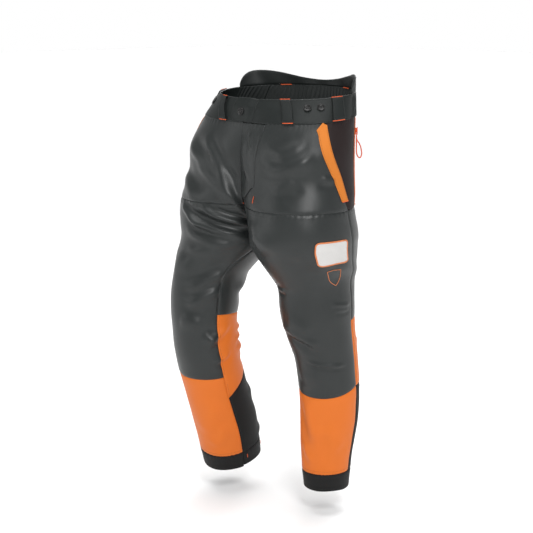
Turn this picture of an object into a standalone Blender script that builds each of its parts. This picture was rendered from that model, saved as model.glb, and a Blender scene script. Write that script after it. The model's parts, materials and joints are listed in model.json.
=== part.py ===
"""Chainsaw protective trousers, open as if worn, built from their sewn panels and fittings.

Frame: metres, +Z up. The wearer faces -Y and the wearer's left is +X. The origin is at the
height of the waist, on the plane between the legs.

Every panel lies on one closed skin. A place on it is (side, s, u): side is +1 for the
wearer's left and -1 for the right, s is the drop below the waist along the leg, and u runs
round the section, from -1 at the centre front, through 0 at the outer side, to +1 at the
centre back. Below the crotch the section closes, so u = -1 and u = +1 meet at the inseam
side, and u may run on past 1.
"""

import math

import bmesh
import bpy
import numpy as np
from mathutils import Matrix, Vector

LEFT, RIGHT = 1, -1
SIDES = ((LEFT, "left"), (RIGHT, "right"))

# Driving dimensions of the skin.
CROTCH = 0.352  # drop from the waist to the crotch
HEM = 1.035  # drop from the waist to the hem
FRONT_WAIST_Y = -0.074
WAIST_RISE = 0.08  # rise of the waist per metre towards the back
RISE_FADES = (0.05, 0.26)  # drops between which that rise dies out
LEG_TURN = 0.20  # drop over which sections turn from level to square with the leg
BAND_TOP, BAND_FOOT = -0.015, 0.043  # edges of the waistband

# Hip stations: drop, half width, middle y, front depth, back depth, centre front y, centre back y.
HIPS = (
    (BAND_TOP, 0.209, 0.075, 0.138, 0.138, FRONT_WAIST_Y, 0.212),
    (0.055, 0.235, 0.040, 0.150, 0.157, -0.084, 0.196),
    (0.110, 0.250, 0.014, 0.150, 0.176, -0.090, 0.188),
    (0.180, 0.252, 0.010, 0.152, 0.182, -0.089, 0.188),
    (0.260, 0.266, -0.002, 0.158, 0.182, -0.078, 0.150),
    (CROTCH, 0.266, 0.002, 0.146, 0.157, 0.002, 0.002),
)
# Leg stations: drop along the leg, centre x (outwards), centre y, centre z, half width, half depth.
LEGS = {
    LEFT: (
        (0.45, 0.139, 0.044, -0.450, 0.100, 0.111),
        (0.55, 0.140, 0.053, -0.550, 0.096, 0.102),
        (0.65, 0.152, 0.070, -0.650, 0.083, 0.086),
        (0.80, 0.155, 0.085, -0.800, 0.079, 0.080),
        (0.93, 0.147, 0.083, -0.930, 0.070, 0.072),
        (HEM, 0.149, 0.084, -1.035, 0.058, 0.062),
    ),
    RIGHT: (
        (0.45, 0.160, -0.054, -0.450, 0.094, 0.104),
        (0.55, 0.165, -0.075, -0.550, 0.089, 0.096),
        (0.65, 0.159, -0.078, -0.645, 0.086, 0.090),
        (0.80, 0.161, -0.041, -0.790, 0.084, 0.087),
        (0.93, 0.160, 0.001, -0.915, 0.086, 0.089),
        (HEM, 0.167, 0.028, -1.015, 0.079, 0.083),
    ),
}

# Seams, as drops (s) and turns round the section (u).
YOKE_TOP = 0.045  # panels start under the waistband
THIGH_SEAM = 0.258
THIGH_TOP = 0.424  # lower edge of the soft upper thigh
KNEE_TOP = 0.575
HEM_SEAM = 0.985
INSEAM, OUTSEAM = -0.90, 0.10
GAITER_TOP = {LEFT: (0.742, 0.018), RIGHT: (0.743, -0.012)}  # edge drop, how far its middle dips
CALF_TOP_DROP = 0.068  # the back piece ends this much lower at the inseam
POCKET_START, POCKET_SLOPE, POCKET_WIDTH = -0.291, 1.62, 0.092
VENT_EDGES = (0.300, 0.370)
FLY_STITCH = -0.745
FLY_FOOT = 0.235
SEAM_GAP = 0.0006  # each panel stops this short of a seam
SEAM_GAP_U = 0.0022

# Cloth and padding.
CLOTH = 0.0015
BAND_CLOTH, BAND_LIFT = 0.0040, 0.0015
PAD, PAD_DEPTH = 0.0060, 0.0060
HEM_CLOTH = 0.0024

# Joint axes.
HIP_Z, HIP_Y = -0.360, 0.010
KNEE_DROP = 0.650


def rgb(red, green, blue):
    return (red, green, blue, 1.0)


CHARCOAL = rgb(0.040, 0.043, 0.042)
BLACK = rgb(0.016, 0.015, 0.015)
ORANGE = rgb(0.70, 0.17, 0.03)
TRIM_ORANGE = rgb(0.76, 0.25, 0.06)
PAD_WHITE = rgb(0.62, 0.62, 0.58)
BADGE_WHITE = rgb(0.70, 0.69, 0.66)
STEEL = rgb(0.20, 0.20, 0.21)


# The skin ---------------------------------------------------------------------------------


def station_table(side):
    """One row for each station: drop, cx, cy, cz, half width, front, back, front and back fold."""
    rows = []
    for drop, half_width, cy, front, back, front_y, back_y in HIPS:
        front_fold = 1 - (cy - front_y) / front
        back_fold = 1 - (back_y - cy) / back
        middle = half_width / 2
        rows.append((drop, middle, cy, -drop, middle, front, back, front_fold, back_fold))
    for drop, cx, cy, cz, half_width, depth in LEGS[side]:
        rows.append((drop, cx, cy, cz, half_width, depth, depth, 1.0, 1.0))
    return np.array(rows)


TABLES = {side: station_table(side) for side in (LEFT, RIGHT)}


def follow(table, drops):
    """The station values at these drops, on a smooth curve through the stations."""
    at, values = table[:, 0], table[:, 1:]
    slopes = np.gradient(values, at, axis=0)
    held = np.clip(drops, at[0], at[-1])
    i = np.clip(np.searchsorted(at, held, side="right") - 1, 0, len(at) - 2)
    step = (at[i + 1] - at[i])[:, None]
    t = (held[:, None] - at[i][:, None]) / step
    start = (2 * t**3 - 3 * t**2 + 1) * values[i] + (t**3 - 2 * t**2 + t) * step * slopes[i]
    end = (3 * t**2 - 2 * t**3) * values[i + 1] + (t**3 - t**2) * step * slopes[i + 1]
    return start + end


def smooth(value):
    value = np.clip(value, 0.0, 1.0)
    return value * value * (3 - 2 * value)


def unit(vectors):
    return vectors / np.maximum(np.linalg.norm(vectors, axis=1, keepdims=True), 1e-9)


def half_skin(side, s, u):
    """Points of one side's skin for arrays of drops and turns."""
    table = TABLES[side]
    below = s >= CROTCH
    u = np.where(below, (u + 1) % 2 - 1, u)
    cx, cy, cz, wide, front, back, front_fold, back_fold = follow(table, s).T
    cz = np.where(s < table[0, 0], -s, cz)
    cx = np.where(below, cx, wide)
    fold = np.where(below, 1.0, np.clip(np.where(u < 0, front_fold, back_fold), 0, 1))
    step = 1e-3
    run = follow(table, s + step)[:, :3] - follow(table, s - step)[:, :3]
    level = np.array([0.0, 0.0, -1.0])
    turn = smooth((s - CROTCH) / LEG_TURN)[:, None]
    along = unit(unit(run) * turn + level * (1 - turn))
    out = unit(np.array([1.0, 0.0, 0.0]) - along * along[:, :1])
    rear = np.cross(out, along)
    angle = u * math.pi / 2
    depth = np.where(u < 0, front, back)
    x = (1 - fold) * 2 * wide * np.cos(angle) + fold * wide * (1 + np.cos(2 * angle)) - wide
    y = depth * ((1 - fold) * np.sin(angle) + fold * np.sin(2 * angle))
    points = np.stack([cx, cy, cz], axis=1) + out * x[:, None] + rear * y[:, None]
    fade = np.clip((RISE_FADES[1] - s) / (RISE_FADES[1] - RISE_FADES[0]), 0, 1)
    points[:, 2] += WAIST_RISE * (points[:, 1] - FRONT_WAIST_Y) * fade
    points[:, 0] *= side
    return points


def skin(side, s, u):
    """Skin points. With side 0, u runs right round: 0 is the centre front and +-2 the centre back."""
    s, u = np.broadcast_arrays(np.asarray(s, float), np.asarray(u, float))
    if side:
        return half_skin(side, s, u)
    left = half_skin(LEFT, s, np.abs(u) - 1)
    right = half_skin(RIGHT, s, np.abs(u) - 1)
    return np.where((u >= 0)[:, None], left, right)


def skin_frame(side, s, u):
    """Skin points with their outward normals."""
    step = 1e-3
    down = skin(side, s + step, u) - skin(side, s - step, u)
    across = skin(side, s, u + step) - skin(side, s, u - step)
    normals = unit(np.cross(down, across)) * (side or 1)
    return skin(side, s, u), normals


def spot(side, s, u, lift=0.0):
    """One skin point raised by lift, and its normal, as Vectors."""
    points, normals = skin_frame(side, np.array([s]), np.array([u]))
    normal = Vector(normals[0])
    return Vector(points[0]) + normal * lift, normal


def clear_line(side, top_drop, foot_drop, turn, gap):
    """A straight line down the skin, raised until it clears the bulge: its ends and its normal."""
    drops = np.linspace(top_drop, foot_drop, 25)
    points, normals = skin_frame(side, drops, np.full_like(drops, turn))
    top, foot = points[0], points[-1]
    along = (foot - top) / np.linalg.norm(foot - top)
    normal = normals.mean(axis=0)
    normal = normal - along * normal.dot(along)
    normal /= np.linalg.norm(normal)
    rise = normal * (max(0.0, float(((points - top) @ normal).max())) + gap)
    return Vector(top + rise), Vector(foot + rise), Vector(normal)


# Making objects ---------------------------------------------------------------------------


def clear_scene():
    for item in list(bpy.data.objects):
        bpy.data.objects.remove(item, do_unlink=True)


def new_collection(name):
    made = bpy.data.collections.new(name)
    bpy.context.scene.collection.children.link(made)
    return made


def material(name, colour, roughness, metallic=0.0):
    made = bpy.data.materials.new(name)
    made.use_nodes = True
    shader = made.node_tree.nodes["Principled BSDF"]
    shader.inputs["Base Color"].default_value = colour
    shader.inputs["Roughness"].default_value = roughness
    shader.inputs["Metallic"].default_value = metallic
    return made


def add_body(name, at):
    """An empty on a joint's axis, which the moving body's pieces are parented to."""
    empty = bpy.data.objects.new("body_" + name, None)
    empty.location = at
    PARTS.objects.link(empty)
    BODIES[name] = empty


def add_piece(name, data, body, colour, roughness=0.8, metallic=0.0):
    """Links a mesh or curve made in world coordinates as a piece of a body."""
    piece = bpy.data.objects.new(name, data)
    data.materials.append(material(name, colour, roughness, metallic))
    if body in BODIES:
        data.transform(Matrix.Translation(-BODIES[body].location))
        piece.parent = BODIES[body]
    PARTS.objects.link(piece)
    return piece


def call(edge, at):
    """An edge is a number, or a function of the other coordinate."""
    return edge(at) if callable(edge) else np.full_like(at, edge)


def grid(side, top, foot, first, last, rows, cols, gaps=True):
    """Drops and turns of a panel's grid: top to foot along the leg, first to last round it."""
    v, w = np.meshgrid(rows, np.linspace(0, 1, cols + 1), indexing="ij")
    v, w = v.ravel(), w.ravel()
    s = np.full_like(v, 0.5 * (np.mean(call(top, w)) + np.mean(call(foot, w))))
    gap_s, gap_u = (SEAM_GAP, SEAM_GAP_U) if gaps else (0.0, 0.0)
    for _ in range(3):
        start, stop = call(first, s) + gap_u, call(last, s) - gap_u
        u = start + (stop - start) * w
        start, stop = call(top, u) + gap_s, call(foot, u) - gap_s
        s = start + (stop - start) * v
    return s, u


def panel_mesh(name, side, s, u, shape, lift, ring=False):
    """An open surface on the skin, raised by lift, with its faces pointing outwards."""
    points, normals = skin_frame(side, s, u)
    points = points + normals * np.broadcast_to(lift, s.shape)[:, None]
    near_middle = np.abs(points[:, 0]) < SEAM_GAP
    if side:
        points[near_middle, 0] = side * SEAM_GAP
    rows, cols = shape
    faces = []
    for i in range(rows - 1):
        for j in range(cols - 1 + ring):
            a, b = i * cols + j, i * cols + (j + 1) % cols
            quad = (a, a + cols, b + cols, b)
            faces.append(quad if side != RIGHT else quad[::-1])
    mesh = bpy.data.meshes.new(name)
    mesh.from_pydata([tuple(p) for p in points], [], faces)
    return mesh


def panel(name, body, side, top, foot, first, last, rows, cols, colour,
          thick=CLOTH, lift=0.0, roughness=0.8):
    """A sewn panel between four edges: skin raised by lift and thickened inwards."""
    stops = np.linspace(0, 1, rows + 1) if isinstance(rows, int) else np.array(rows)
    s, u = grid(side, top, foot, first, last, stops, cols)
    height = lift(s, u) if callable(lift) else lift
    mesh = panel_mesh(name, side, s, u, (len(stops), cols + 1), height)
    return thicken(add_piece(name, mesh, body, colour, roughness), thick)


def ring(name, body, side, top, foot, rows, cols, colour, thick=CLOTH, lift=0.0):
    """A sewn tube round the whole leg."""
    v, w = np.meshgrid(np.linspace(0, 1, rows + 1), np.arange(cols) / cols, indexing="ij")
    s = top + SEAM_GAP + (foot - top - 2 * SEAM_GAP) * v.ravel()
    u = -1 + 2 * w.ravel()
    mesh = panel_mesh(name, side, s, u, (rows + 1, cols), lift, ring=True)
    return thicken(add_piece(name, mesh, body, colour), thick)


def thicken(piece, thick):
    solid = piece.modifiers.new("thickness", "SOLIDIFY")
    solid.thickness = thick
    solid.offset = -1.0
    return piece


def frame_on(normal, up=Vector((0.0, 0.0, 1.0))):
    """Rotation whose local z is the normal, with local y as near to up as it can be."""
    z = normal.normalized()
    y = (up - z * up.dot(z)).normalized()
    return Matrix((y.cross(z), y, z)).transposed().to_4x4()


def square_to(normal, along):
    """The part of a normal that is square to a direction."""
    return (normal - along * normal.dot(along)).normalized()


def disc(name, body, centre, normal, radius, height, colour, roughness=0.35, metallic=0.0):
    """A round button with bevelled rims, its back face at centre."""
    mesh = bpy.data.meshes.new(name)
    made = bmesh.new()
    turned = Matrix.Translation(centre + normal * height / 2) @ frame_on(normal)
    bmesh.ops.create_cone(
        made, cap_ends=True, segments=20, radius1=radius, radius2=radius, depth=height, matrix=turned
    )
    made.to_mesh(mesh)
    made.free()
    return add_piece(name, mesh, body, colour, roughness, metallic)


def block(name, body, matrix, size, colour, bevel, roughness=0.4, metallic=0.0):
    """A box of this size with bevelled edges."""
    mesh = bpy.data.meshes.new(name)
    made = bmesh.new()
    bmesh.ops.create_cube(made, size=1.0, matrix=matrix @ Matrix.Diagonal((*size, 1.0)))
    made.to_mesh(mesh)
    made.free()
    piece = add_piece(name, mesh, body, colour, roughness, metallic)
    rounded = piece.modifiers.new("edges", "BEVEL")
    rounded.width = bevel
    rounded.segments = 1
    return piece


# The hips ---------------------------------------------------------------------------------

TAB_END, TAB_HINGE = -0.115, 0.112  # turns from the centre front
TAB_CLOTH, TAB_ROOM = 0.0030, 0.0034
TAB_SHORT = 0.002  # the tab ends this far, in turns, before its hinge
TAB_HINGE_GAP = 0.0003
BAND_SPLIT = 0.48  # where the front bands meet the elastic back
BUTTON_RADIUS, BUTTON_HEIGHT = 0.010, 0.003
BUTTON_S, BUTTON_U = 0.017, -0.017
STUD_RADIUS, STUD_HEIGHT = 0.006, 0.0014
BRACE_RADIUS, BRACE_HEIGHT, BRACE_S = 0.010, 0.0032, 0.007
BRACE_U = {"outer": -0.302, "inner": -0.427, "back": 0.860}
FLAP_EDGE, FLAP_PEAK = 0.12, 0.34
FLAP_HIGH, FLAP_LOW = 0.042, 0.015
LOOP_U = {
    "front": {LEFT: -0.591, RIGHT: -0.732},
    "side": {LEFT: -0.110, RIGHT: -0.110},
    "back": {LEFT: 0.640, RIGHT: 0.640},
}
LOOP_LEAN = {  # turns per metre of drop
    "front": {LEFT: 1.93, RIGHT: -1.98},
    "side": {LEFT: 1.10, RIGHT: 1.10},
    "back": {LEFT: 0.0, RIGHT: 0.0},
}
LOOP_WIDTH = {"front": 0.026, "side": 0.030, "back": 0.026}
LOOP_CLOTH, LOOP_ROOM = 0.0016, 0.0052
LOOP_ROWS = (0.0, 0.05, 0.11, 0.5, 0.89, 0.95, 1.0)


def flap_top(t):
    """Height of the raised back: a low middle between two lobes with round corners."""
    u = np.abs(t) - 1
    inner = np.cos(math.pi / 2 * np.clip((u - FLAP_PEAK) / (1 - FLAP_PEAK), 0, 1)) ** 2
    corner = np.clip((FLAP_PEAK - u) / (FLAP_PEAK - FLAP_EDGE), 0, 1)
    height = np.where(
        u > FLAP_PEAK,
        FLAP_LOW + (FLAP_HIGH - FLAP_LOW) * inner,
        FLAP_HIGH * np.sqrt(np.clip(1 - corner**2.4, 0.02, 1)),
    )
    return BAND_TOP - height


def tab_lift(s, t):
    """The tab leaves the left band flush and climbs over the right band and its stud."""
    climb = smooth((TAB_HINGE - t) / (TAB_HINGE - 0.03))
    return BAND_LIFT + climb * (TAB_ROOM + TAB_CLOTH)


def tab_hinge():
    """The straight line on the band's face that the tab turns about."""
    return clear_line(0, BAND_TOP, BAND_FOOT, TAB_HINGE, BAND_LIFT + TAB_HINGE_GAP)[:2]


def make_waistband():
    front = {"rows": 2, "cols": 10, "thick": BAND_CLOTH, "lift": BAND_LIFT}
    panel("waistband_front_left", "pelvis", 0, BAND_TOP, BAND_FOOT, TAB_HINGE, 1 + BAND_SPLIT,
          colour=CHARCOAL, **front)
    panel("waistband_front_right", "pelvis", 0, BAND_TOP, BAND_FOOT, -1 - BAND_SPLIT, 0.02,
          colour=CHARCOAL, **front)
    # The back runs from one side round to the other, through the centre back at 2.
    make_back_piece("waistband_back", BAND_TOP, BAND_FOOT, BAND_SPLIT, 12, BAND_CLOTH, BAND_LIFT)
    make_back_piece("kidney_flap", flap_top, BAND_TOP, FLAP_EDGE, 20, BAND_CLOTH, BAND_LIFT)
    panel("waist_tab", "waist_tab", 0, BAND_TOP + 0.001, BAND_FOOT - 0.001, TAB_END,
          TAB_HINGE - TAB_SHORT,
          rows=2, cols=7, colour=CHARCOAL, thick=TAB_CLOTH, lift=tab_lift)


def make_back_piece(name, top, foot, edge, cols, thick, lift):
    """A panel centred on the back, from the left side's edge round to the right side's."""
    reach = 1 - edge - SEAM_GAP_U
    turns = np.linspace(-reach, reach, cols + 1)
    turns = np.where(turns < 0, 2 + turns, -2 + turns)
    turns[cols // 2] = 2.0
    stops = np.linspace(0, 1, 3)
    v, t = np.meshgrid(stops, turns, indexing="ij")
    v, t = v.ravel(), t.ravel()
    start, stop = call(top, t) + SEAM_GAP, call(foot, t) - SEAM_GAP
    mesh = panel_mesh(name, 0, start + (stop - start) * v, t, (len(stops), cols + 1), lift)
    thicken(add_piece(name, mesh, "pelvis", CHARCOAL), thick)


def make_buttons():
    outside = BAND_LIFT + TAB_ROOM + TAB_CLOTH
    centre, normal = spot(0, BUTTON_S, BUTTON_U, outside + 0.0003)
    disc("waist_button", "waist_tab", centre, normal, BUTTON_RADIUS, BUTTON_HEIGHT, BLACK)
    centre, normal = spot(0, BUTTON_S, BUTTON_U, BAND_LIFT + 0.0010)
    disc("waist_stud", "pelvis", centre, normal, STUD_RADIUS, STUD_HEIGHT, STEEL, 0.3, 1.0)
    for side, label in SIDES:
        for place, u in BRACE_U.items():
            centre, normal = spot(side, BRACE_S, u, BAND_LIFT + 0.0006)
            disc(f"brace_button_{place}_{label}", "pelvis", centre, normal, BRACE_RADIUS,
                 BRACE_HEIGHT, BLACK)


def loop_lift(s, _):
    """A belt loop lies on the band at both ends and stands off it between them."""
    v = (s - BAND_TOP) / (BAND_FOOT - BAND_TOP)
    room = LOOP_ROOM * smooth(np.minimum(v, 1 - v) / 0.10)
    return BAND_LIFT + 0.0005 + LOOP_CLOTH + room


def loop_edge(place, side, reach):
    """A belt loop's edge, which leans as the loop does."""
    middle, lean = LOOP_U[place][side], LOOP_LEAN[place][side]
    return lambda s: middle + reach + lean * (s - (BAND_TOP + BAND_FOOT) / 2)


def make_belt_loops():
    for place, turns in LOOP_U.items():
        for side, label in SIDES:
            at = turns[side]
            before, after = skin(side, np.array([0.01, 0.01]), np.array([at - 0.01, at + 0.01]))
            half = LOOP_WIDTH[place] / 2 * 0.02 / np.linalg.norm(after - before)
            edges = (loop_edge(place, side, reach) for reach in (-half, half))
            panel(f"belt_loop_{place}_{label}", "pelvis", side, BAND_TOP, BAND_FOOT, *edges,
                  LOOP_ROWS, 2, CHARCOAL, LOOP_CLOTH, loop_lift)


def pocket_edge(s):
    return POCKET_START + POCKET_SLOPE * (s - YOKE_TOP)


def trim_edge(s):
    return pocket_edge(s) + POCKET_WIDTH


def make_hip_panels():
    tall = (YOKE_TOP, THIGH_SEAM)
    for side, label in SIDES:
        inner = FLY_STITCH if side == LEFT else -1.0
        panel(f"hip_front_{label}", "pelvis", side, *tall, inner, pocket_edge, 8, 7, CHARCOAL)
        panel(f"pocket_trim_{label}", "pelvis", side, *tall, pocket_edge, trim_edge, 8, 2,
              TRIM_ORANGE, CLOTH + 0.001, 0.0012)
        panel(f"side_panel_{label}", "pelvis", side, *tall, trim_edge, VENT_EDGES[0], 8, 3, BLACK)
        panel(f"vent_zip_tape_{label}", "pelvis", side, *tall, *VENT_EDGES, 8, 2, ORANGE)
        panel(f"seat_{label}", "pelvis", side, *tall, VENT_EDGES[1], 1.0, 8, 7, CHARCOAL)
        panel(f"pocket_bag_{label}", "pelvis", side, YOKE_TOP + 0.01, THIGH_SEAM - 0.012, -0.42, 0.16,
              5, 5, BLACK, 0.003, -0.006)


# The fly ----------------------------------------------------------------------------------

FLY_TOP = 0.048
ZIP_TOP, ZIP_FOOT = 0.070, 0.205
ZIP_DEPTH = 0.0090  # how far behind the skin the zip's face lies at its ends
ZIP_TAPE_WIDTH, ZIP_TAPE = 0.030, 0.0012
ZIP_OFF_CENTRE = 0.010
ZIP_SPARE, ZIP_GAP = 0.014, 0.0003
FLY_HINGE_GAP = 0.0012
FLAP_SHORT = 0.006  # the flap ends this far, in turns, before the stitch line
FLY_SLIDER, FLY_PULL = (0.008, 0.012, 0.0030), (0.006, 0.026, 0.0014)  # width, length, height


def fly_zip_line():
    """The straight line that the fly's slider runs along, just behind the flap."""
    ends = []
    for s in (ZIP_TOP, ZIP_FOOT):
        on_skin = Vector(skin(LEFT, np.array([s]), np.array([-1.0]))[0])
        ends.append(on_skin + Vector((ZIP_OFF_CENTRE, ZIP_DEPTH, 0.0)))
    return ends


def fly_hinge():
    """The straight line that the flap turns about, just in front of its stitched edge."""
    top, foot, _ = clear_line(LEFT, FLY_TOP, FLY_FOOT, FLY_STITCH, FLY_HINGE_GAP)
    return top, foot


def make_fly():
    panel("fly_flap", "fly_flap", LEFT, FLY_TOP, FLY_FOOT, -1.0, FLY_STITCH - FLAP_SHORT, 5, 4,
          CHARCOAL, CLOTH, 0.0002)
    top, foot = fly_zip_line()
    down = (foot - top).normalized()
    normal = square_to(Vector((0, -1, 0)), down)
    frame = frame_on(normal, -down)
    middle = (top + foot) / 2 - normal * ZIP_TAPE / 2
    tape_size = (ZIP_TAPE_WIDTH, (foot - top).length + 2 * ZIP_SPARE, ZIP_TAPE)
    tape = Matrix.Translation(middle) @ frame
    block("fly_zip_tape", "pelvis", tape, tape_size, BLACK, 0.0003, 0.8)
    slider = Matrix.Translation(top + normal * (ZIP_GAP + FLY_SLIDER[2] / 2)) @ frame
    block("fly_zip_slider", "fly_slider", slider, FLY_SLIDER, STEEL, 0.0006, 0.3, 1.0)
    reach = FLY_SLIDER[1] / 2 + ZIP_GAP + FLY_PULL[1] / 2
    pull = Matrix.Translation(top + down * reach + normal * (ZIP_GAP + FLY_SLIDER[2] / 2)) @ frame
    block("fly_zip_pull", "fly_slider", pull, FLY_PULL, STEEL, 0.0004, 0.3, 1.0)


# The vent zips ----------------------------------------------------------------------------

VENT_U = 0.335
VENT_TOP, VENT_FOOT = 0.078, 0.232
VENT_TRAVEL_GAP = 0.0010
VENT_SLIDER = (0.0110, 0.0200, 0.0060)  # width, length, height
CORD_RADIUS = 0.0015
CORD_DROP, CORD_SPREAD = 0.058, 0.016
CORD_TWIST = math.radians(50)  # the loop hangs turned this far off the cloth
CORD_STRAIGHT = 0.008  # and starts to turn this far down
CORD_POINTS = 24
CORD_GAP = 0.0008
PULL_REACH = 0.0017  # the cord turns about a line this far below the slider


def vent_line(side):
    """The straight line that a vent zip's slider runs along."""
    return clear_line(side, VENT_TOP, VENT_FOOT, VENT_U, VENT_TRAVEL_GAP)


def cord_route(side):
    """Points of the puller's cord: out of the slider, down, round a small bend and back."""
    top, foot, normal = vent_line(side)
    down = (foot - top).normalized()
    across = down.cross(normal)
    start = top + down * (VENT_SLIDER[1] / 2 + CORD_GAP) + normal * (VENT_SLIDER[2] / 2)
    points = []
    for k in range(CORD_POINTS + 1):
        angle = 2 * math.pi * k / CORD_POINTS
        drop = CORD_DROP * (1 - math.cos(angle)) / 2
        width = 0.0022 + CORD_SPREAD / 2 * (drop / CORD_DROP) ** 0.8
        swing = width * math.cos(angle / 2) if k in (0, CORD_POINTS) else width * turn_side(angle)
        twist = CORD_TWIST * float(smooth(np.array((drop - CORD_STRAIGHT) / 0.020)))
        outward = (width - side * swing) * math.sin(twist)
        points.append(start + down * drop + across * swing * math.cos(twist) + normal * outward)
    return points


def turn_side(angle):
    """+1 on the way down, -1 on the way back, turning round evenly at the foot."""
    return math.copysign(min(1.0, abs(math.sin(angle / 2 + math.pi / 2)) * 2.2), math.pi - angle)


def make_vent_zips():
    for side, label in SIDES:
        top, foot, normal = vent_line(side)
        frame = frame_on(normal, top - foot)
        slider = Matrix.Translation(top + normal * VENT_SLIDER[2] / 2) @ frame
        block(f"vent_zip_slider_{label}", f"vent_slider_{label}", slider, VENT_SLIDER, ORANGE, 0.0012)
        curve = bpy.data.curves.new(f"vent_pull_cord_{label}", "CURVE")
        curve.dimensions = "3D"
        curve.bevel_depth = CORD_RADIUS
        curve.bevel_resolution = 2
        curve.use_fill_caps = True
        route = curve.splines.new("POLY")
        points = cord_route(side)
        route.points.add(len(points) - 1)
        for point, at in zip(route.points, points):
            point.co = (*at, 1.0)
        add_piece(f"vent_pull_cord_{label}", curve, f"vent_pull_{label}", ORANGE, 0.7)


# The legs ---------------------------------------------------------------------------------

BADGE_S, BADGE_U = (0.328, 0.388), -0.070


def badge_half(s):
    """Half the badge's width, a little less at its ends, where the corners are round."""
    middle, reach = (BADGE_S[0] + BADGE_S[1]) / 2, (BADGE_S[1] - BADGE_S[0]) / 2
    return 0.112 - 0.012 * np.clip(np.abs(s - middle) / reach, 0, 1) ** 6


def make_upper_legs():
    for side, label in SIDES:
        thigh = f"thigh_{label}"
        make_soft_thigh(side, label)
        ends = (THIGH_TOP, KNEE_TOP)
        panel(f"thigh_front_{label}", thigh, side, *ends, INSEAM, OUTSEAM, 4, 12, CHARCOAL)
        panel(f"thigh_back_{label}", thigh, side, *ends, OUTSEAM, INSEAM + 2, 4, 12, CHARCOAL)
        panel(f"thigh_pad_{label}", thigh, side, THIGH_SEAM + 0.015, KNEE_TOP - 0.005, -0.80, 0.06,
              10, 12, PAD_WHITE, PAD, -PAD_DEPTH)
    panel("badge", "thigh_left", LEFT, *BADGE_S, lambda s: BADGE_U - badge_half(s),
          lambda s: BADGE_U + badge_half(s), 4, 4, BADGE_WHITE, 0.0010, 0.0022)


def make_soft_thigh(side, label):
    """The soft length at the groin: a strip above the crotch that closes to a tube below it."""
    name = f"upper_thigh_{label}"
    cols = 22
    open_drops = np.linspace(THIGH_SEAM + SEAM_GAP, CROTCH, 5)
    closed_drops = np.linspace(CROTCH, THIGH_TOP - SEAM_GAP, 5)[1:]
    drops = np.concatenate([open_drops, closed_drops])
    turns = np.linspace(-1, 1, cols + 1)
    s, u = (values.ravel() for values in np.meshgrid(drops, turns, indexing="ij"))
    mesh = panel_mesh(name, side, s, u, (len(drops), cols + 1), 0.0)
    made = bmesh.new()
    made.from_mesh(mesh)
    made.verts.ensure_lookup_table()
    first = (len(open_drops) - 1) * (cols + 1)
    closed = [made.verts[i] for i in range(first, len(made.verts))]
    bmesh.ops.remove_doubles(made, verts=closed, dist=1e-5)
    made.to_mesh(mesh)
    made.free()
    thicken(add_piece(name, mesh, f"thigh_{label}", CHARCOAL), CLOTH)


def gaiter_top(side):
    edge, dip = GAITER_TOP[side]
    middle, reach = (INSEAM + OUTSEAM) / 2, (OUTSEAM - INSEAM) / 2
    return lambda u: edge + dip * (1 - ((u - middle) / reach) ** 2)


def calf_top(side):
    edge = GAITER_TOP[side][0]
    return lambda u: edge + CALF_TOP_DROP * np.clip((u - OUTSEAM) / (INSEAM + 2 - OUTSEAM), 0, 1) ** 2


def make_lower_legs():
    for side, label in SIDES:
        shin = f"shin_{label}"
        front, back = (INSEAM, OUTSEAM), (OUTSEAM, INSEAM + 2)
        panel(f"knee_front_{label}", shin, side, KNEE_TOP, gaiter_top(side), *front, 6, 11, CHARCOAL)
        panel(f"knee_back_{label}", shin, side, KNEE_TOP, calf_top(side), *back, 6, 11, ORANGE)
        panel(f"gaiter_{label}", shin, side, gaiter_top(side), HEM_SEAM, *front, 6, 11, ORANGE)
        panel(f"calf_{label}", shin, side, calf_top(side), HEM_SEAM, *back, 6, 11, BLACK)
        panel(f"shin_pad_{label}", shin, side, KNEE_TOP + 0.005, HEM_SEAM - 0.01, -0.84, 0.04, 8, 9,
              PAD_WHITE, PAD, -PAD_DEPTH)
        ring(f"hem_band_{label}", shin, side, HEM_SEAM, HEM, 2, 24, BLACK, HEM_CLOTH, 0.0004)


# The whole object -------------------------------------------------------------------------


def add_bodies():
    """An empty for each moving body, on its joint's axis."""
    add_body("waist_tab", tab_hinge()[0])
    add_body("fly_flap", fly_hinge()[0])
    add_body("fly_slider", fly_zip_line()[0])
    for side, label in SIDES:
        knee = follow(TABLES[side], np.array([KNEE_DROP]))[0]
        add_body(f"thigh_{label}", Vector((side * 0.14, HIP_Y, HIP_Z)))
        add_body(f"shin_{label}", Vector((side * knee[0], knee[1], knee[2])))
        top, foot, normal = vent_line(side)
        down = (foot - top).normalized()
        add_body(f"vent_slider_{label}", top)
        reach = VENT_SLIDER[1] / 2 + PULL_REACH
        add_body(f"vent_pull_{label}", top + down * reach + normal * VENT_SLIDER[2] / 2)


clear_scene()
PARTS = new_collection("chainsaw_trousers")
BODIES = {}
add_bodies()
make_waistband()
make_buttons()
make_belt_loops()
make_hip_panels()
make_fly()
make_vent_zips()
make_upper_legs()
make_lower_legs()
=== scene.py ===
"""The looks of the chainsaw protective trousers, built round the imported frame.

Every cloth piece lies on the same skin as the frame's panels. A place on it is (side, s, u):
side is +1 for the wearer's left and -1 for the right, s is the drop below the waist along the
leg, and u runs round the section from -1 at the centre front, through 0 at the outer side, to
+1 at the centre back. Folds, puckers and seams are added along the skin's normals.
"""

import json
import math

import bmesh
import bpy
import numpy as np
from mathutils import Matrix, Vector, noise

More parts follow.
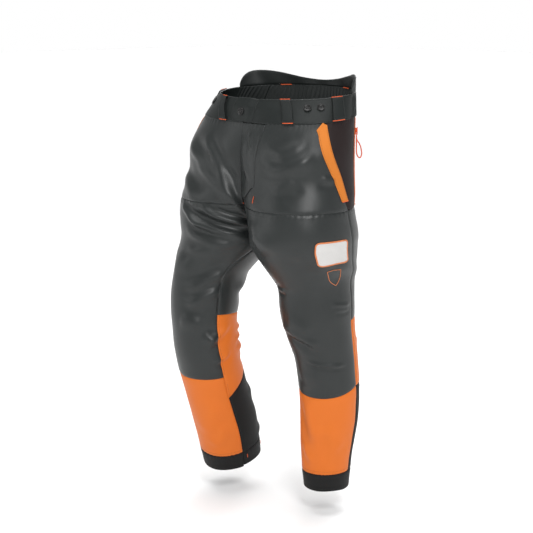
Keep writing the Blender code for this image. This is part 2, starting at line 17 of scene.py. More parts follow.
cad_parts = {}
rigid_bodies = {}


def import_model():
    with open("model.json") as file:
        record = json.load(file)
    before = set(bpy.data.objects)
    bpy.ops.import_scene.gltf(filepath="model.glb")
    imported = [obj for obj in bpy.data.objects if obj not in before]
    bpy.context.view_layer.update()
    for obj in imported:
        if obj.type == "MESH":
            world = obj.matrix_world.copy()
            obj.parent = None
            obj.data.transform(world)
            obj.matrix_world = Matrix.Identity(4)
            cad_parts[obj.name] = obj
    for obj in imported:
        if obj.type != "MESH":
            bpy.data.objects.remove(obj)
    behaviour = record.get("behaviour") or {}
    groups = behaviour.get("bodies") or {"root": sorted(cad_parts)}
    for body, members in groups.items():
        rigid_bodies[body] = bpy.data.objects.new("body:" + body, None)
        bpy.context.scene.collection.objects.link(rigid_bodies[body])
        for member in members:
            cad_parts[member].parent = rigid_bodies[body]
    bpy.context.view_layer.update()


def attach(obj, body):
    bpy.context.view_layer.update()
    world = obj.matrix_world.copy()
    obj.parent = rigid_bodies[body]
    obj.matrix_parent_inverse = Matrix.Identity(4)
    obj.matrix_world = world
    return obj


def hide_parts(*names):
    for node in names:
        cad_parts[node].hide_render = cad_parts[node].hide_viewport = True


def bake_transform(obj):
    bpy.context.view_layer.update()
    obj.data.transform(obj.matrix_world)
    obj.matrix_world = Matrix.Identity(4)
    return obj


for item in list(bpy.data.objects):
    bpy.data.objects.remove(item, do_unlink=True)
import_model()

LEFT, RIGHT = 1, -1
SIDES = ((LEFT, "left"), (RIGHT, "right"))

# Driving dimensions of the skin.
CROTCH = 0.352  # drop from the waist to the crotch
HEM = 1.035  # drop from the waist to the hem
FRONT_WAIST_Y = -0.074
WAIST_RISE = 0.08  # rise of the waist per metre towards the back
RISE_FADES = (0.05, 0.26)  # drops between which that rise dies out
LEG_TURN = 0.20  # drop over which sections turn from level to square with the leg
BAND_TOP, BAND_FOOT = -0.015, 0.043  # edges of the waistband

# A scratch script fitted both station tables to the photo's outline by least squares, and its
# figures were rounded.
# The hip rows were changed after that, the leg rows hardly at all.
# Hip stations: drop, half width, middle y, front depth, back depth, centre front y, centre back y.
HIPS = (
    (BAND_TOP, 0.209, 0.075, 0.138, 0.138, FRONT_WAIST_Y, 0.212),
    (0.055, 0.235, 0.040, 0.150, 0.157, -0.084, 0.196),
    (0.110, 0.250, 0.014, 0.150, 0.176, -0.090, 0.188),
    (0.180, 0.252, 0.010, 0.152, 0.182, -0.089, 0.188),
    (0.260, 0.266, -0.002, 0.158, 0.182, -0.078, 0.150),
    (CROTCH, 0.266, 0.002, 0.146, 0.157, 0.002, 0.002),
)
# Leg stations: drop along the leg, centre x (outwards), centre y, centre z, half width, half depth.
LEGS = {
    LEFT: (
        (0.45, 0.139, 0.044, -0.450, 0.100, 0.111),
        (0.55, 0.140, 0.053, -0.550, 0.096, 0.102),
        (0.65, 0.152, 0.070, -0.650, 0.083, 0.086),
        (0.80, 0.155, 0.085, -0.800, 0.079, 0.080),
        (0.93, 0.147, 0.083, -0.930, 0.070, 0.072),
        (HEM, 0.149, 0.084, -1.035, 0.058, 0.062),
    ),
    RIGHT: (
        (0.45, 0.160, -0.054, -0.450, 0.094, 0.104),
        (0.55, 0.165, -0.075, -0.550, 0.089, 0.096),
        (0.65, 0.159, -0.078, -0.645, 0.086, 0.090),
        (0.80, 0.161, -0.041, -0.790, 0.084, 0.087),
        (0.93, 0.160, 0.001, -0.915, 0.086, 0.089),
        (HEM, 0.167, 0.028, -1.015, 0.079, 0.083),
    ),
}

# Seams, as drops (s) and turns round the section (u).
YOKE_TOP = 0.045  # panels start under the waistband
THIGH_SEAM = 0.258
HEM_SEAM = 0.985
INSEAM, OUTSEAM = -0.90, 0.10
GAITER_TOP = {LEFT: (0.742, 0.018), RIGHT: (0.743, -0.012)}  # edge drop, how far its middle dips
CALF_TOP_DROP = 0.068  # the back piece ends this much lower at the inseam
POCKET_START, POCKET_SLOPE, POCKET_WIDTH = -0.291, 1.62, 0.092
VENT_EDGES = (0.300, 0.370)
FLY_STITCH = -0.745
FLY_FOOT = 0.235

# Cloth and padding.
CLOTH = 0.0015
BAND_CLOTH, BAND_LIFT = 0.0040, 0.0015
PAD, PAD_DEPTH = 0.0060, 0.0060
HEM_CLOTH = 0.0024


# The skin ---------------------------------------------------------------------------------


def station_table(side):
    """One row for each station: drop, cx, cy, cz, half width, front, back, front and back fold."""
    rows = []
    for drop, half_width, cy, front, back, front_y, back_y in HIPS:
        front_fold = 1 - (cy - front_y) / front
        back_fold = 1 - (back_y - cy) / back
        middle = half_width / 2
        rows.append((drop, middle, cy, -drop, middle, front, back, front_fold, back_fold))
    for drop, cx, cy, cz, half_width, depth in LEGS[side]:
        rows.append((drop, cx, cy, cz, half_width, depth, depth, 1.0, 1.0))
    return np.array(rows)


TABLES = {side: station_table(side) for side in (LEFT, RIGHT)}


def follow(table, drops):
    """The station values at these drops, on a smooth curve through the stations."""
    at, values = table[:, 0], table[:, 1:]
    slopes = np.gradient(values, at, axis=0)
    held = np.clip(drops, at[0], at[-1])
    i = np.clip(np.searchsorted(at, held, side="right") - 1, 0, len(at) - 2)
    step = (at[i + 1] - at[i])[:, None]
    t = (held[:, None] - at[i][:, None]) / step
    start = (2 * t**3 - 3 * t**2 + 1) * values[i] + (t**3 - 2 * t**2 + t) * step * slopes[i]
    end = (3 * t**2 - 2 * t**3) * values[i + 1] + (t**3 - t**2) * step * slopes[i + 1]
    return start + end


def smooth(value):
    """0 to 1 with an easy start and end."""
    value = np.clip(value, 0.0, 1.0)
    return value * value * (3 - 2 * value)


def unit(vectors):
    return vectors / np.maximum(np.linalg.norm(vectors, axis=1, keepdims=True), 1e-9)


def half_skin(side, s, u):
    """Points of one side's skin for arrays of drops and turns."""
    table = TABLES[side]
    below = s >= CROTCH
    u = np.where(below, (u + 1) % 2 - 1, u)
    cx, cy, cz, wide, front, back, front_fold, back_fold = follow(table, s).T
    cz = np.where(s < table[0, 0], -s, cz)
    cx = np.where(below, cx, wide)
    fold = np.where(below, 1.0, np.clip(np.where(u < 0, front_fold, back_fold), 0, 1))
    step = 1e-3
    run = follow(table, s + step)[:, :3] - follow(table, s - step)[:, :3]
    level = np.array([0.0, 0.0, -1.0])
    turn = smooth((s - CROTCH) / LEG_TURN)[:, None]
    along = unit(unit(run) * turn + level * (1 - turn))
    out = unit(np.array([1.0, 0.0, 0.0]) - along * along[:, :1])
    rear = np.cross(out, along)
    angle = u * math.pi / 2
    depth = np.where(u < 0, front, back)
    x = (1 - fold) * 2 * wide * np.cos(angle) + fold * wide * (1 + np.cos(2 * angle)) - wide
    y = depth * ((1 - fold) * np.sin(angle) + fold * np.sin(2 * angle))
    points = np.stack([cx, cy, cz], axis=1) + out * x[:, None] + rear * y[:, None]
    fade = np.clip((RISE_FADES[1] - s) / (RISE_FADES[1] - RISE_FADES[0]), 0, 1)
    points[:, 2] += WAIST_RISE * (points[:, 1] - FRONT_WAIST_Y) * fade
    points[:, 0] *= side
    return points


def skin(side, s, u):
    """Skin points. With side 0, u runs right round, from 0 at the front to +-2 at the back."""
    s, u = np.broadcast_arrays(np.asarray(s, float), np.asarray(u, float))
    if side:
        return half_skin(side, s, u)
    u = (u + 2) % 4 - 2
    left = half_skin(LEFT, s, np.abs(u) - 1)
    right = half_skin(RIGHT, s, np.abs(u) - 1)
    return np.where((u >= 0)[:, None], left, right)


def skin_frame(side, s, u):
    """Skin points with their outward normals."""
    step = 1e-3
    down = skin(side, s + step, u) - skin(side, s - step, u)
    across = skin(side, s, u + step) - skin(side, s, u - step)
    normals = unit(np.cross(down, across)) * (side or 1)
    return skin(side, s, u), normals


def spot(side, s, u, lift=0.0):
    """One skin point raised by lift, and its normal, as Vectors."""
    points, normals = skin_frame(side, np.array([s]), np.array([u]))
    normal = Vector(normals[0])
    return Vector(points[0]) + normal * lift, normal


def clear_line(side, top_drop, foot_drop, turn, gap):
    """A straight line down the skin, raised until it clears the bulge: its ends and its normal."""
    drops = np.linspace(top_drop, foot_drop, 25)
    points, normals = skin_frame(side, drops, np.full_like(drops, turn))
    top, foot = points[0], points[-1]
    along = (foot - top) / np.linalg.norm(foot - top)
    normal = normals.mean(axis=0)
    normal = normal - along * normal.dot(along)
    normal /= np.linalg.norm(normal)
    rise = normal * (max(0.0, float(((points - top) @ normal).max())) + gap)
    return Vector(top + rise), Vector(foot + rise), Vector(normal)


# Folds and puckers ------------------------------------------------------------------------

TURN = 0.27  # metres of cloth in one turn, near enough to measure folds by
FOLD_GAIN = 1.5  # all folds are this much higher than their rows say
FOLD_ENDS = 0.30  # share of a fold's length over which each end dies out
HOLLOW_SHARE, HOLLOW_AWAY = 0.55, 1.75  # the hollow beside a ridge: its depth, and how far off
CORD_HOLLOW = 0.0024  # the cloth lies this much lower where the puller's cord hangs
CORD_LANE, CORD_LANE_TOP, CORD_LANE_FOOT = 0.16, 0.222, 0.40
CORD_CALM = 0.9  # share of the folds taken out there

# The ends of most front folds were picked by eye in the photo and turned into (s, u) by a scratch
# script, then rounded or moved by hand.
# Their bows, widths and heights are guesses.
# Each fold: start (s, u), end (s, u), sideways bow, width, height. A negative width puts the
# hollow beside the ridge on its other side.
FRONT_FOLDS = {
    RIGHT: (
        ((0.068, -0.600), (0.300, -0.985), 0.010, 0.012, 0.0062),
        ((0.100, -0.330), (0.232, -0.930), 0.012, 0.014, 0.0050),
        ((0.150, -0.520), (0.262, -0.960), 0.006, 0.012, 0.0046),
        ((0.190, -0.250), (0.262, -0.640), 0.008, 0.016, 0.0036),
        ((0.262, -0.620), (0.318, -0.960), -0.006, 0.010, 0.0066),
        ((0.290, -0.480), (0.350, -0.880), -0.008, 0.012, 0.0070),
        ((0.266, -0.400), (0.330, -0.600), 0.004, 0.009, 0.0048),
        ((0.330, -0.420), (0.372, -0.860), -0.010, 0.013, 0.0050),
        ((0.515, -0.560), (0.432, -0.940), -0.008, 0.015, 0.0056),
        ((0.552, -0.560), (0.486, -0.930), -0.006, 0.014, 0.0048),
        ((0.401, -0.450), (0.398, -0.800), 0.006, 0.022, 0.0034),
        ((0.470, -0.300), (0.452, -0.640), 0.008, 0.024, 0.0030),
        ((0.587, -0.500), (0.609, -0.760), 0.006, 0.018, 0.0036),
        ((0.622, -0.740), (0.652, -0.880), 0.002, 0.012, 0.0030),
        ((0.800, -0.780), (0.900, -0.450), 0.010, 0.024, 0.0034),
        ((0.880, -0.800), (0.950, -0.560), 0.006, 0.018, 0.0028),
    ),
    LEFT: (
        ((0.156, -0.660), (0.112, -0.230), 0.012, -0.019, 0.0062),
        ((0.118, -0.610), (0.084, -0.330), 0.006, -0.016, 0.0034),
        ((0.170, -0.190), (0.180, -0.040), 0.003, 0.009, 0.0030),
        ((0.205, -0.560), (0.165, -0.400), 0.005, 0.016, 0.0030),
        ((0.062, -0.940), (0.190, -0.830), 0.004, 0.009, 0.0034),
        ((0.060, -0.870), (0.120, -0.800), 0.003, 0.006, 0.0022),
        ((0.276, -0.700), (0.356, -0.370), 0.006, 0.016, 0.0052),
        ((0.312, -0.620), (0.372, -0.480), 0.004, 0.012, 0.0036),
        ((0.340, -0.300), (0.400, -0.060), 0.006, 0.020, 0.0026),
        ((0.456, -0.660), (0.462, -0.520), 0.002, 0.008, 0.0024),
        ((0.500, -0.140), (0.512, 0.080), 0.002, 0.006, 0.0020),
        ((0.515, -0.120), (0.524, 0.070), 0.002, 0.006, 0.0018),
        ((0.548, -0.700), (0.622, -0.240), -0.010, 0.012, 0.0060),
        ((0.530, -0.560), (0.566, -0.280), 0.006, 0.018, 0.0036),
        ((0.648, -0.480), (0.676, -0.030), 0.004, 0.0048, 0.0030),
        ((0.700, -0.640), (0.690, -0.300), 0.006, 0.022, 0.0026),
        ((0.757, -0.520), (0.905, -0.340), 0.012, 0.022, 0.0050),
        ((0.840, -0.330), (0.920, -0.100), -0.010, 0.022, 0.0034),
        ((0.900, -0.600), (0.950, -0.420), 0.004, 0.014, 0.0026),
    ),
}
# Folds that both legs share, at the outer side and the back, where little or nothing is seen.
SHARED_FOLDS = (
    ((0.262, 0.420), (0.335, 0.930), 0.012, 0.013, 0.0056),
    ((0.300, 0.380), (0.372, 0.800), 0.012, 0.016, 0.0052),
    ((0.120, 0.960), (0.230, 0.620), 0.014, 0.018, 0.0044),
    ((0.160, 0.980), (0.250, 0.760), 0.008, 0.012, 0.0034),
    ((0.090, 0.520), (0.140, 0.780), 0.006, 0.016, 0.0028),
    ((0.430, 0.520), (0.500, 0.940), 0.008, 0.018, 0.0046),
    ((0.480, 0.300), (0.530, 0.700), 0.008, 0.016, 0.0036),
    ((0.602, 0.300), (0.628, 0.860), 0.006, 0.011, 0.0050),
    ((0.640, 0.220), (0.662, 0.920), -0.006, 0.010, 0.0058),
    ((0.676, 0.300), (0.690, 0.900), 0.008, 0.012, 0.0048),
    ((0.716, 0.380), (0.712, 0.820), 0.004, 0.012, 0.0034),
    ((0.800, 0.360), (0.862, 0.800), 0.008, 0.018, 0.0036),
    ((0.880, 0.240), (0.930, 0.620), 0.006, 0.016, 0.0030),
    ((0.945, 0.300), (0.962, 0.860), 0.004, 0.010, 0.0028),
    ((0.380, -0.060), (0.450, 0.300), 0.010, 0.020, 0.0034),
    ((0.600, 0.940), (0.652, 1.260), 0.004, 0.010, 0.0044),
    ((0.676, 0.960), (0.690, 1.200), 0.004, 0.009, 0.0038),
)


def fold_heights(side, s, u):
    """Each fold is a ridge with a hollow beside it, along a bowed line."""
    total = np.zeros_like(s)
    below = s >= CROTCH
    for start, end, bow, width, height in FRONT_FOLDS[side] + SHARED_FOLDS:
        first = np.array([start[0], start[1] * TURN])
        run = np.array([end[0], end[1] * TURN]) - first
        length = np.linalg.norm(run)
        run /= length
        for shift in (-2, 0, 2):
            place = np.stack([s - first[0], (u + shift) * TURN - first[1]], axis=1)
            t = place @ run / length
            offset = place[:, 0] * run[1] - place[:, 1] * run[0] - bow * 4 * t * (1 - t)
            x = offset / width
            shape = np.exp(-x * x) - HOLLOW_SHARE * np.exp(-((x - HOLLOW_AWAY) ** 2))
            ends = smooth(t / FOLD_ENDS) * smooth((1 - t) / FOLD_ENDS)
            total += np.where(below | (shift == 0), FOLD_GAIN * height * shape * ends, 0.0)
    return total


NOISE_SCALES = ((7.0, 0.0030), (19.0, 0.0011))  # waves per metre, height
SEAM_DROPS = (BAND_FOOT, THIGH_SEAM, HEM_SEAM)
PUCKER_REACH, PUCKER_HEIGHT, PUCKER_PITCH = 0.020, 0.0007, 0.011


def noise_heights(points):
    """A soft unevenness of the cloth, the same for every piece at one place."""
    total = np.zeros(len(points))
    for waves, height in NOISE_SCALES:
        scaled = points * waves
        total += height * np.array([noise.noise(Vector(p)) for p in scaled.tolist()])
    return total


def pucker_heights(side, s, u):
    """Small gathers that run off the cross seams."""
    total = np.zeros_like(s)
    for k, drop in enumerate(SEAM_DROPS):
        away = np.abs(s - drop) / PUCKER_REACH
        along = u * TURN / PUCKER_PITCH
        wave = np.sin(2 * math.pi * along + 1.7 * np.sin(along * 0.83 + k + side))
        total += PUCKER_HEIGHT * wave * np.clip(1 - away, 0, 1) ** 1.5 * (away < 1)
    return total


def relief(side, s, u, points):
    """Height of the cloth over the skin, calm at the waist so that the fittings lie flat."""
    if side == 0:
        return np.zeros_like(s)
    calm = smooth((s - BAND_FOOT) / 0.03)
    centred = np.where(s < CROTCH, smooth((1 - np.abs(u)) / 0.07), 1.0)
    folded = fold_heights(side, s, u) * centred + noise_heights(points)
    # The cloth is calm beside the vent zip, and lower where the cord hangs when it is open.
    beside = np.exp(-(((u - VENT_U) / CORD_LANE) ** 2)) * smooth((CORD_LANE_FOOT - s) / 0.05)
    hollow = CORD_HOLLOW * beside * smooth((s - CORD_LANE_TOP) / 0.03)
    return (folded * calm + pucker_heights(side, s, u)) * (1 - CORD_CALM * beside) - hollow


def cloth_points(side, s, u, lift=0.0, folds=1.0):
    """Points on the folded cloth, and the skin's normals there."""
    points, normals = skin_frame(side, s, u)
    height = lift + folds * relief(side, s, u, points)
    return points + normals * np.broadcast_to(height, s.shape)[:, None], normals


def cloth_spot(side, s, u, lift=0.0):
    """One point on the folded cloth, and its normal, as Vectors."""
    points, normals = cloth_points(side, np.array([s]), np.array([u]), lift)
    return Vector(points[0]), Vector(normals[0])


# Materials --------------------------------------------------------------------------------

THREAD_RELIEF = 0.00012  # height of the woven threads


def add_node(tree, kind, **settings):
    made = tree.nodes.new(kind)
    for name, value in settings.items():
        setattr(made, name, value)
    return made


def noise_node(tree, vector, scale, detail=3.0):
    made = add_node(tree, "ShaderNodeTexNoise")
    made.inputs["Scale"].default_value = scale
    made.inputs["Detail"].default_value = detail
    tree.links.new(vector, made.inputs["Vector"])
    return made.outputs["Fac"]


def wave_node(tree, vector, scale, direction, distortion=0.0):
    made = add_node(tree, "ShaderNodeTexWave", wave_type="BANDS", bands_direction=direction)
    made.inputs["Scale"].default_value = scale
    made.inputs["Distortion"].default_value = distortion
    tree.links.new(vector, made.inputs["Vector"])
    return made.outputs["Fac"]


def mix_node(tree, factor, low, high):
    """A colour between two fixed colours, or two fixed numbers as greys."""
    ramp = add_node(tree, "ShaderNodeValToRGB")
    ramp.color_ramp.elements[0].color = low
    ramp.color_ramp.elements[1].color = high
    tree.links.new(factor, ramp.inputs["Fac"])
    return ramp.outputs["Color"]


def math_node(tree, operation, a, b):
    made = add_node(tree, "ShaderNodeMath", operation=operation)
    for socket, value in zip(made.inputs, (a, b)):
        if isinstance(value, (int, float)):
            socket.default_value = value
        else:
            tree.links.new(value, socket)
    return made.outputs[0]


def grey(value):
    return (value, value, value, 1.0)


def shade(colour, factor):
    return (*(min(1.0, c * factor) for c in colour[:3]), 1.0)


def new_material(name, roughness, specular, metallic=0.0):
    made = bpy.data.materials.new(name)
    made.use_nodes = True
    shader = made.node_tree.nodes["Principled BSDF"]
    shader.inputs["Roughness"].default_value = roughness
    shader.inputs["Specular IOR Level"].default_value = specular
    shader.inputs["Metallic"].default_value = metallic
    return made, made.node_tree, shader


def scaled(tree, value, factor):
    return math_node(tree, "MULTIPLY", value, factor)


def add_bump(tree, shader, height, strength, distance):
    bump = add_node(tree, "ShaderNodeBump")
    bump.inputs["Strength"].default_value = strength
    bump.inputs["Distance"].default_value = distance
    tree.links.new(height, bump.inputs["Height"])
    tree.links.new(bump.outputs["Normal"], shader.inputs["Normal"])


def add_tone(tree, shader, factor, colour, dark, light):
    """An uneven colour between two shades of one colour."""
    tree.links.new(mix_node(tree, factor, shade(colour, dark), shade(colour, light)),
                   shader.inputs["Base Color"])


def add_gloss(tree, shader, factor, spread, least):
    """An uneven roughness, from least upwards."""
    gloss = math_node(tree, "MULTIPLY_ADD", factor, spread)
    gloss.node.inputs[2].default_value = least
    tree.links.new(gloss, shader.inputs["Roughness"])


def object_place(tree):
    return add_node(tree, "ShaderNodeTexCoord").outputs["Object"]


def fabric(name, colour, roughness, specular, pitch=0.0007, twill=True, sheen=0.12, vary=0.16):
    """Woven cloth: threads as relief along the piece's own grain, with uneven dye and gloss, and
    painted shade that darkens the colour in the hollows between the threads.
    """
    made, tree, shader = new_material(name, roughness, specular)
    shader.inputs["Sheen Weight"].default_value = sheen
    shader.inputs["Sheen Roughness"].default_value = 0.5
    shader.inputs["Sheen Tint"].default_value = shade(colour, 3.0)
    place = add_node(tree, "ShaderNodeTexCoord").outputs["UV"]
    waves = 2 * math.pi / 20 / pitch  # at scale 1 a wave texture has a period of 2 pi / 20 units
    warp = wave_node(tree, place, waves, "X", 0.3)
    weft = wave_node(tree, place, waves, "Y", 0.3)
    lines = wave_node(tree, place, waves / 2, "DIAGONAL") if twill else weft
    threads = scaled(tree, math_node(tree, "MULTIPLY", warp, weft), 0.4)
    height = math_node(tree, "ADD", scaled(tree, lines, 0.6), threads)
    slub = noise_node(tree, place, 900.0, 2.0)
    height = math_node(tree, "ADD", height, scaled(tree, slub, 0.35))
    add_bump(tree, shader, height, 0.55, THREAD_RELIEF)
    cloudy = noise_node(tree, object_place(tree), 14.0, 4.0)
    # Painted shade: the thread relief also sets the colour, so the hollows between threads are
    # darker and the crowns lighter; the noise is uneven dye.
    fine = math_node(tree, "ADD", noise_node(tree, place, 260.0), height)
    dye_and_thread_shade = math_node(tree, "ADD", scaled(tree, cloudy, 0.5), scaled(tree, fine, 0.25))
    add_tone(tree, shader, dye_and_thread_shade, colour, 1 - vary, 1 + vary)
    add_gloss(tree, shader, cloudy, 0.16, roughness - 0.08)
    return made


def plastic(name, colour, roughness=0.35):
    """Moulded plastic with a fine grain."""
    made, tree, shader = new_material(name, roughness, 0.3)
    solid = object_place(tree)
    grain = noise_node(tree, solid, 900.0, 4.0)
    add_bump(tree, shader, grain, 0.25, 0.0001)
    add_tone(tree, shader, noise_node(tree, solid, 120.0), colour, 0.8, 1.25)
    add_gloss(tree, shader, grain, 0.2, roughness - 0.1)
    return made


def metal(name, colour, roughness=0.32):
    """Lightly scratched metal."""
    made, tree, shader = new_material(name, roughness, 0.5, 1.0)
    scratches = noise_node(tree, object_place(tree), 1600.0, 5.0)
    add_tone(tree, shader, scratches, colour, 0.75, 1.25)
    add_gloss(tree, shader, scratches, 0.25, roughness - 0.12)
    return made


def colour(red, green, blue):
    return (red, green, blue, 1.0)


CHARCOAL = fabric("charcoal_satin", colour(0.0165, 0.0190, 0.0188), 0.38, 0.34, sheen=0.02)
BAND = fabric("band_cloth", colour(0.0105, 0.0130, 0.0125), 0.46, 0.22, sheen=0.02)
BLACK = fabric("black_stretch", colour(0.0095, 0.0095, 0.0095), 0.62, 0.16, 0.0009,
               twill=False, sheen=0.02)
SIDE = fabric("brown_black_stretch", colour(0.0150, 0.0095, 0.0095), 0.62, 0.16, 0.0009,
              twill=False, sheen=0.03)
ORANGE = fabric("orange_satin", colour(0.60, 0.140, 0.0165), 0.50, 0.20, sheen=0.0, vary=0.08)
TRIM = fabric("orange_tape", colour(0.52, 0.160, 0.024), 0.62, 0.14, 0.0006, twill=False,
              sheen=0.02, vary=0.06)
LINING = fabric("lining", colour(0.020, 0.021, 0.022), 0.42, 0.4, 0.0005, twill=False)
PADDING = fabric("pad_cover", colour(0.50, 0.50, 0.47), 0.8, 0.2, 0.0011, twill=False)
PATCH = fabric("badge_twill", colour(0.52, 0.51, 0.50), 0.75, 0.2, 0.0006)
THREAD_PITCH = 0.0004
THREAD_DARK = fabric("dark_thread", colour(0.012, 0.013, 0.013), 0.55, 0.3, THREAD_PITCH, False)
THREAD_ORANGE = fabric("orange_thread", colour(0.58, 0.085, 0.022), 0.55, 0.3, THREAD_PITCH,
                       False, vary=0.08)
THREAD_TRIM = fabric("embroidery_thread", colour(0.56, 0.170, 0.060), 0.5, 0.35, THREAD_PITCH,
                     False, vary=0.08)
CORD = fabric("cord_braid", colour(0.55, 0.060, 0.012), 0.6, 0.3, 0.0008, vary=0.14)
ORANGE_PLASTIC = plastic("orange_plastic", colour(0.52, 0.058, 0.010))
BUTTON_PLASTIC = plastic("button_plastic", colour(0.010, 0.010, 0.010), 0.30)
DARK_METAL = metal("dark_metal", colour(0.16, 0.16, 0.17))


# Making pieces ----------------------------------------------------------------------------

GRID = 0.004  # size of the cloth's mesh
EDGE_STEP = 0.0012  # a raw edge is rounded over this much cloth
EDGE_PINCH = 0.30  # and each sheet moves in there by this share of the thickness
CENTRE_GAP = 0.0004  # each side keeps this far from the centre plane
SEAM_SINK, SEAM_REACH = 0.0013, 0.006  # how far cloth dips into a seam, and from how far away
SPLIT = 0.573  # the upper and lower leg pieces meet here, without a seam in front


def follow_body(piece, body):
    """Rides on a body. A piece for a bend at the hip, knee or fly only has its transform baked, on
    no body.
    """
    if not body.startswith("bend_"):
        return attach(piece, body)
    _, joint, label = body.split("_")
    if joint == "hip":
        start = Vector((0.0, 0.0, -CROTCH))
        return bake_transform(piece)
    if joint == "knee":
        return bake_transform(piece)
    start, across = fly_fold()
    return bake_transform(piece)


def new_object(name, data):
    """A new object, linked to the scene."""
    made = bpy.data.objects.new(name, data)
    bpy.context.scene.collection.objects.link(made)
    return made


def finish_piece(piece, body, nodes=()):
    """Shades a piece smooth, hands it to follow_body and hides the nodes that it stands for."""
    if piece.type == "MESH":
        piece.data.shade_smooth()
    follow_body(piece, body)
    if nodes:
        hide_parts(*([nodes] if isinstance(nodes, str) else nodes))
    return piece


def build_mesh(name, points, faces, materials, uv=None, dark=None):
    """A mesh from points and faces. uv is one pair for each point; dark marks lining faces."""
    mesh = bpy.data.meshes.new(name)
    mesh.from_pydata(points.tolist(), [], faces)
    for used in materials:
        mesh.materials.append(used)
    if dark is not None:
        mesh.polygons.foreach_set("material_index", np.asarray(dark, dtype=np.int32))
    if uv is not None:
        loops = np.empty(len(mesh.loops), dtype=np.int32)
        mesh.loops.foreach_get("vertex_index", loops)
        layer = mesh.uv_layers.new(name="grain")
        layer.data.foreach_set("uv", np.asarray(uv, dtype=np.float32)[loops].ravel())
    return mesh


def freed_mesh(made, name):
    """The mesh of a bmesh, which is freed."""
    mesh = bpy.data.meshes.new(name)
    made.to_mesh(mesh)
    made.free()
    return mesh


def tube_faces(rings, cols):
    """Quads between rings of cols points each."""
    faces = []
    for start in range(0, (rings - 1) * cols, cols):
        for k in range(cols):
            a, b = start + k, start + (k + 1) % cols
            faces.append((a, b, b + cols, a + cols))
    return faces


def travel(points):
    """The distance along a row of points, at each of them."""
    return np.concatenate([[0], np.cumsum(np.linalg.norm(np.diff(points, axis=0), axis=1))])


def between(values, travelled, at):
    """Rows of three numbers, known along a line, at other distances along it."""
    return np.stack([np.interp(at, travelled, values[:, k]) for k in range(3)], axis=1)


def fill_in(corners, count):
    """A line of (s, u) corners as an array of each, with count steps from corner to corner."""
    corners = np.array(corners, float)
    last = len(corners) - 1
    at = np.linspace(0, last, count * last + 1)
    return [np.interp(at, np.arange(last + 1), corners[:, k]) for k in (0, 1)]


def call(edge, at):
    """An edge's values: an edge is a number or a function."""
    return edge(at) if callable(edge) else np.full_like(at, edge)


def stops(length, hem_low, hem_high, step):
    """Shares of a length at about one step apart, with a close row at each hemmed edge."""
    inner = np.linspace(0, 1, max(2, int(round(length / step))) + 1)
    close = min(0.3, EDGE_STEP / length)
    low = [close] if hem_low else []
    high = [1 - close] if hem_high else []
    inside = inner[1:-1]
    inside = inside[(inside > close * 1.5) & (inside < 1 - close * 1.5)]
    return np.array([0.0, *low, *inside.tolist(), *high, 1.0])


def cloth(name, body, side, top, foot, first, last, main, slot, nodes=(), lift=0.0, thick=CLOTH,
          seams="tflr", joins="", folds=1.0, step=GRID, inner=None, shape=None, cross=False):
    """A panel of cloth as a closed shell between four edges.

    seams lists the edges that dip into a seam: t top, f foot, l first, r last. joins lists the
    edges where the cloth runs on into another piece. shape adds height from (s, u).
    """
    s_mid = 0.5 * float(np.mean([call(edge, np.zeros(1)) for edge in (top, foot)]))
    ends = [float(call(edge, np.array([s_mid]))[0]) for edge in (first, last)]
    u_mid = np.array([sum(ends) / 2])
    height = float(call(foot, u_mid)[0] - call(top, u_mid)[0])
    s_mid = float(call(foot, u_mid)[0] + call(top, u_mid)[0]) / 2
    row = skin(side, np.full(33, s_mid), np.linspace(*ends, 33))
    width = float(np.linalg.norm(np.diff(row, axis=0), axis=1).sum())
    v_stops = stops(height, "t" not in joins, "f" not in joins, step)
    w_stops = stops(width, "l" not in joins, "r" not in joins, step)
    v, w = np.meshgrid(v_stops, w_stops, indexing="ij")
    rows, cols = v.shape
    v, w = v.ravel(), w.ravel()
    s = np.full_like(v, s_mid)
    for _ in range(4):
        start, stop = call(first, s), call(last, s)
        u = start + (stop - start) * w
        start, stop = call(top, u), call(foot, u)
        s = start + (stop - start) * v
    sink = np.zeros_like(s)
    for edge, distance in (("t", v * height), ("f", (1 - v) * height),
                           ("l", w * width), ("r", (1 - w) * width)):
        if edge in seams:
            sink += SEAM_SINK * (1 - smooth(distance / SEAM_REACH))
    raised = (lift(s, u) if callable(lift) else lift) - sink
    if shape is not None:
        raised = raised + shape(s, u)
    outer, normals = cloth_points(side, s, u, raised, folds)
    if side and not cross:
        outer[:, 0] = side * np.maximum(side * outer[:, 0], CENTRE_GAP)
    inside = outer - normals * thick
    pinch = np.zeros_like(s)
    for edge, on in (("t", v == 0), ("f", v == 1), ("l", w == 0), ("r", w == 1)):
        if edge not in joins:
            pinch[on] = EDGE_PINCH * thick
    outer = outer - normals * pinch[:, None]
    inside = inside + normals * pinch[:, None]
    faces, dark = shell_faces(rows, cols, side)
    uv = np.stack([u * TURN, s], axis=1)
    materials = [main, inner or main]
    mesh = build_mesh(name, np.concatenate([outer, inside]), faces.tolist(), materials,
                      np.concatenate([uv, uv]), dark)
    piece = finish_piece(new_object(name, mesh), body, nodes)
    if joins:
        smooth_join(piece, side, s, u, raised, folds, rows, cols, joins)
    return piece


def shell_faces(rows, cols, side):
    """Quads of the outer sheet, the inner sheet and the rim of a closed shell."""
    count = rows * cols
    i, j = np.meshgrid(np.arange(rows - 1), np.arange(cols - 1), indexing="ij")
    a = (i * cols + j).ravel()
    outer = np.stack([a, a + cols, a + cols + 1, a + 1], axis=1)
    border = np.concatenate([
        np.arange(cols - 1), cols - 1 + cols * np.arange(rows - 1),
        count - 1 - np.arange(cols - 1), cols * (rows - 1) - cols * np.arange(rows - 1),
    ])
    following = np.roll(border, -1)
    rim = np.stack([border, following, following + count, border + count], axis=1)
    inner = outer[:, ::-1] + count
    faces = np.concatenate([outer, rim, inner])
    if side == RIGHT:
        faces = faces[:, ::-1]
    dark = np.concatenate([np.zeros(len(outer) + len(rim)), np.ones(len(inner))])
    return faces, dark


